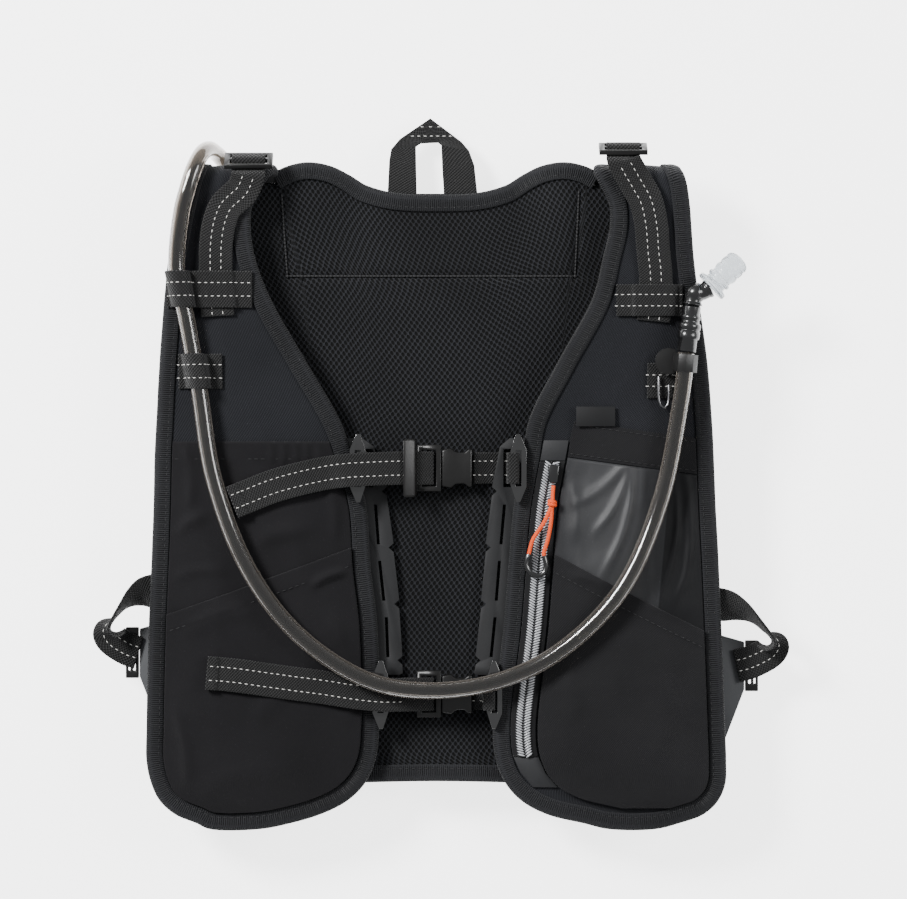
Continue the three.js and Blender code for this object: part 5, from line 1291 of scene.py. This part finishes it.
# Lever of the upper buckle's strap adjuster, laid across the tail beside the frame
LEVER_AT = (-15.6, CHEST["upper"][0], 44.9)
LEVER_SIZE = (8.2, 3.0)
LEVER_SLOPE = math.radians(22.6)
around = 2 * math.pi * (np.arange(24) + 0.5) / 24
lever_u = LEVER_SIZE[0] / 2 * np.sign(np.cos(around)) * np.abs(np.cos(around)) ** 0.5
lever_v = LEVER_SIZE[1] / 2 * np.sign(np.sin(around)) * np.abs(np.sin(around)) ** 0.5
lever_across = lever_u * math.cos(LEVER_SLOPE) - lever_v * math.sin(LEVER_SLOPE)
lever_up = lever_v * math.cos(LEVER_SLOPE) - lever_u * math.sin(LEVER_SLOPE)
lever_section = np.column_stack([lever_across, 0 * around, lever_up])
lever_rings = [np.array(LEVER_AT) + size * lever_section + (0, along, 0)
               for along, size in ((-17.6, 0.5), (-17.2, 0.85), (-16, 1), (16, 1), (17.2, 0.85), (17.6, 0.5))]
finish_piece(loft("clasp_lever_upper", placed(lever_rings)), buckle_plastic, "buckle_plastic")


# Zip
# A coil zip on a black tape beside the right panel's inner edge, between two rubbered patches, with a black
# slider and an orange cord pull. The hose's clip and the blank label are made here too.
zip_tape_cloth, *_ = cloth("Zip tape", (0.0025, 0.0025, 0.0028), (0.009, 0.009, 0.010), 0.5, 0.0012, 0.0003,
                           sheen=0.25)
zip_rows = np.linspace(up_panel(0.11), up_panel(0.567), 90)
ZIP_SECTION = [(0, 0), (0, 1.0), (0.5, 1.2), (2.5, 1.2), (2.9, 1.6), (4.2, 2.4), (6.8, 2.6), (7.3, 2.2),
               (7.7, 2.2), (8.2, 2.6), (10.8, 2.4), (12.1, 1.6), (12.5, 1.2), (14.5, 1.2), (15, 1.0), (15, 0)]
zip_across, zip_up = np.array(ZIP_SECTION).T
zip_rings = []
for y in zip_rows:
    x = right_tape(y) + zip_across
    level_y = np.full_like(x, y)
    zip_rings.append(np.column_stack([x, level_y, front_top("right", x, level_y) + CLEARANCE + zip_up]))
zip_tape = loft("zip_tape", placed(zip_rings))
finish_piece(zip_tape, zip_tape_cloth, "zip_coil", "zip_right")
for name, node in (("zip_end_top", "zip_patch_top"), ("zip_end_bottom", "zip_patch_bottom")):
    moulded(name, node, 0.3, patch_rubber, "coated_cloth")
metal, metal_tree, metal_shader = plain_node_material("Clip wire", (0.13, 0.13, 0.135), 0.3)
metal_shader.inputs["Metallic"].default_value = 1
metal_grain = place_group(metal_tree, moulded_group, Grain_size=1500.0)
metal_tree.links.new(scaled_range(metal_tree, metal_grain.outputs["Rub"], 0.22, 0.42),
                     metal_shader.inputs["Roughness"])
moulded("zip_runner", "zip_slider", 0.9, fitting_plastic, "metal")
moulded("clip_gate", "clip_wire", 0.2, metal, "metal")
moulded("blank_label", "label_patch", 0.25, label_rubber, "binding_tape")
moulded("hose_collar", "hose_clip", 0.7, buckle_plastic, "buckle_plastic", segments=3)

orange, orange_tree, orange_shader = plain_node_material("Orange cord", (0.85, 0.12, 0.02), 0.7)
braid = place_group(orange_tree, weave_group, "UV", Pitch=0.00125, Long=0.9)
# painted shade: the braid's colour is lighter on the thread tops and darker between them
orange_tree.links.new(mixed(orange_tree, braid.outputs["Ribs"], (0.55, 0.03, 0.0), (1.0, 0.11, 0.004)),
                      orange_shader.inputs["Base Color"])
add_bump(orange_tree, orange_shader, braid.outputs["Ribs"], 0.7, 0.0005)
pull_end = moulded("pull_loop_end", "pull_grip", 0.3, fitting_plastic, "pull_rubber")
# from the slider to the knot, round through the rubber end and back to the knot, in metres
PULL_ROUTE = [(0.0674, -0.0083, 0.0453), (0.0670, -0.0137, 0.0460), (0.0666, -0.0187, 0.0470),
              (0.0620, -0.0297, 0.0470), (0.0550, -0.0407, 0.0470), (0.0530, -0.0477, 0.0470),
              (0.0526, -0.0491, 0.0470), (0.0510, -0.0557, 0.0470), (0.0540, -0.0607, 0.0470),
              (0.0580, -0.0623, 0.0470), (0.0616, -0.0607, 0.0470), (0.0630, -0.0557, 0.0470),
              (0.0618, -0.0501, 0.0470), (0.0616, -0.0487, 0.0470), (0.0640, -0.0407, 0.0470),
              (0.0660, -0.0297, 0.0470), (0.0666, -0.0187, 0.0470)]
PULL_DIAMETER = 0.0024
pull_line = smooth_line(PULL_ROUTE, 0.0007)
pull_loop = loft("pull_cord_loop", circle_rings(pull_line, UPWARD, PULL_DIAMETER / 2, 14))
finish_piece(pull_loop, orange, "pull_cord", "pull_cord")
KNOT_AT = np.array(PULL_ROUTE[2])
turns = np.linspace(0, 3.2 * math.pi, 60)
knot_turn = np.column_stack([np.cos(turns), 1.5 * turns / turns[-1] - 0.75, np.sin(turns)])
knot_line = KNOT_AT + 0.0018 * knot_turn
pull_knot = loft("pull_cord_knot", circle_rings(knot_line, (0, 1, 0), 0.00115, 12))
finish_piece(pull_knot, orange, "pull_cord")


# Stitching
# White dashes along the straps and dark thread along the tapes and the pocket mouths. Each stitch is a
# short round thread half sunk in the cloth, set out along its line by Geometry Nodes. So is the zip's coil.
stitch_tree = bpy.data.node_groups.new("Stitches along lines", "GeometryNodeTree")
stitch_tree.is_modifier = True
for socket, kind in (("Lines", "Geometry"), ("Pitch", "Float"), ("Length", "Float"), ("Width", "Float"),
                     ("Turn", "Float"), ("Thread", "Material")):
    stitch_tree.interface.new_socket(socket, in_out="INPUT", socket_type=f"NodeSocket{kind}")
stitch_tree.interface.new_socket("Stitches", in_out="OUTPUT", socket_type="NodeSocketGeometry")
g = {name: stitch_tree.nodes.new(kind) for name, kind in (
    ("given", "NodeGroupInput"), ("made", "NodeGroupOutput"), ("curve", "GeometryNodeMeshToCurve"),
    ("even", "GeometryNodeResampleCurve"), ("ball", "GeometryNodeMeshUVSphere"),
    ("shape", "GeometryNodeTransform"), ("size", "ShaderNodeCombineXYZ"), ("aslant", "ShaderNodeCombineXYZ"),
    ("place", "GeometryNodeInstanceOnPoints"), ("tangent", "GeometryNodeInputTangent"),
    ("turn", "FunctionNodeAlignRotationToVector"), ("real", "GeometryNodeRealizeInstances"),
    ("paint", "GeometryNodeSetMaterial"))}
g["even"].mode = "LENGTH"
g["turn"].axis = "X"
for socket, value in (("Segments", 6), ("Rings", 4), ("Radius", 0.5)):
    g["ball"].inputs[socket].default_value = value
for link in ("given.Lines curve.Mesh", "curve.Curve even.Curve", "given.Pitch even.Length",
             "even.Curve place.Points", "given.Length size.X", "given.Width size.Y", "given.Width size.Z",
             "ball.Mesh shape.Geometry", "size.Vector shape.Scale", "given.Turn aslant.Z",
             "aslant.Vector shape.Rotation", "shape.Geometry place.Instance", "tangent.Tangent turn.Vector",
             "turn.Rotation place.Rotation", "place.Instances real.Geometry", "real.Geometry paint.Geometry",
             "given.Thread paint.Material", "paint.Geometry made.Stitches"):
    (start, output), (end, socket) = (half.split(".") for half in link.split())
    stitch_tree.links.new(g[start].outputs[output], g[end].inputs[socket])


def sew(name, lines, pitch, length, width, thread, slot, turn=0.0):
    """Stitches along lines, in millimetres from the vest's middle, as one plain mesh."""
    points, edges = [], []
    for line in lines:
        first = len(points)
        points += placed(line).tolist()
        edges += [(k, k + 1) for k in range(first, len(points) - 1)]
    mesh = bpy.data.meshes.new(name)
    mesh.from_pydata(points, edges, [])
    seam = bpy.data.objects.new(name, mesh)
    scene.collection.objects.link(seam)
    stitches = seam.modifiers.new("Stitches", "NODES")
    stitches.node_group = stitch_tree
    values = {"Pitch": pitch / 1000, "Length": length / 1000, "Width": width / 1000, "Turn": turn,
              "Thread": thread}
    for item in stitch_tree.interface.items_tree:
        if item.in_out == "INPUT" and item.name in values:
            stitches[item.identifier] = values[item.name]
    plain = bpy.data.meshes.new_from_object(seam.evaluated_get(bpy.context.evaluated_depsgraph_get()))
    seam.modifiers.clear()
    seam.data = plain
    plain.name = name
    plain.shade_smooth()
    finish_piece(seam, thread, slot)


def spun(name, dark, light, rough):
    """Spun thread: the fibres show as fine changes of tone and relief."""
    material, tree, shader = plain_node_material(name, dark, rough)
    fibres = place_group(tree, moulded_group, Grain_size=3000.0)
    tree.links.new(mixed(tree, fibres.outputs["Grain"], dark, light), shader.inputs["Base Color"])
    add_bump(tree, shader, fibres.outputs["Grain"], 0.6, 0.0003)
    return material


white_thread = spun("White thread", (0.5, 0.49, 0.46), (0.8, 0.79, 0.76), 0.8)
dark_thread = spun("Dark thread", (0.005, 0.005, 0.0055), (0.016, 0.016, 0.0175), 0.75)
sew("white_stitches", white_lines, 3.7, 2.25, 0.5, white_thread, "webbing")
sew("dark_stitches", seams, DARK_PITCH, 2.9, 0.5, dark_thread, "binding_tape")
sew("box_stitches", box_seams, 2.2, 2.9, 1.3, dark_thread, "spacer_mesh")
coil_nylon = plastic("Silvered coil", (0.24, 0.245, 0.26), (0.46, 0.47, 0.49), 0.14, 0.28, grain=1800.0,
                     bump=0.1, coat=0.6)
zip_y = np.linspace(zip_rows[0] + 1, zip_rows[-1] - 1, 200)
for name, offset, turn in (("coil_left", 5.2, 1.1), ("coil_right", 9.8, -1.1)):
    zip_x = right_tape(zip_y) + offset
    column = np.column_stack([zip_x, zip_y, front_top("right", zip_x, zip_y) + CLEARANCE + 2.5])
    sew(name, [column], 1.6, 5.2, 1.3, coil_nylon, "zip_coil", turn)
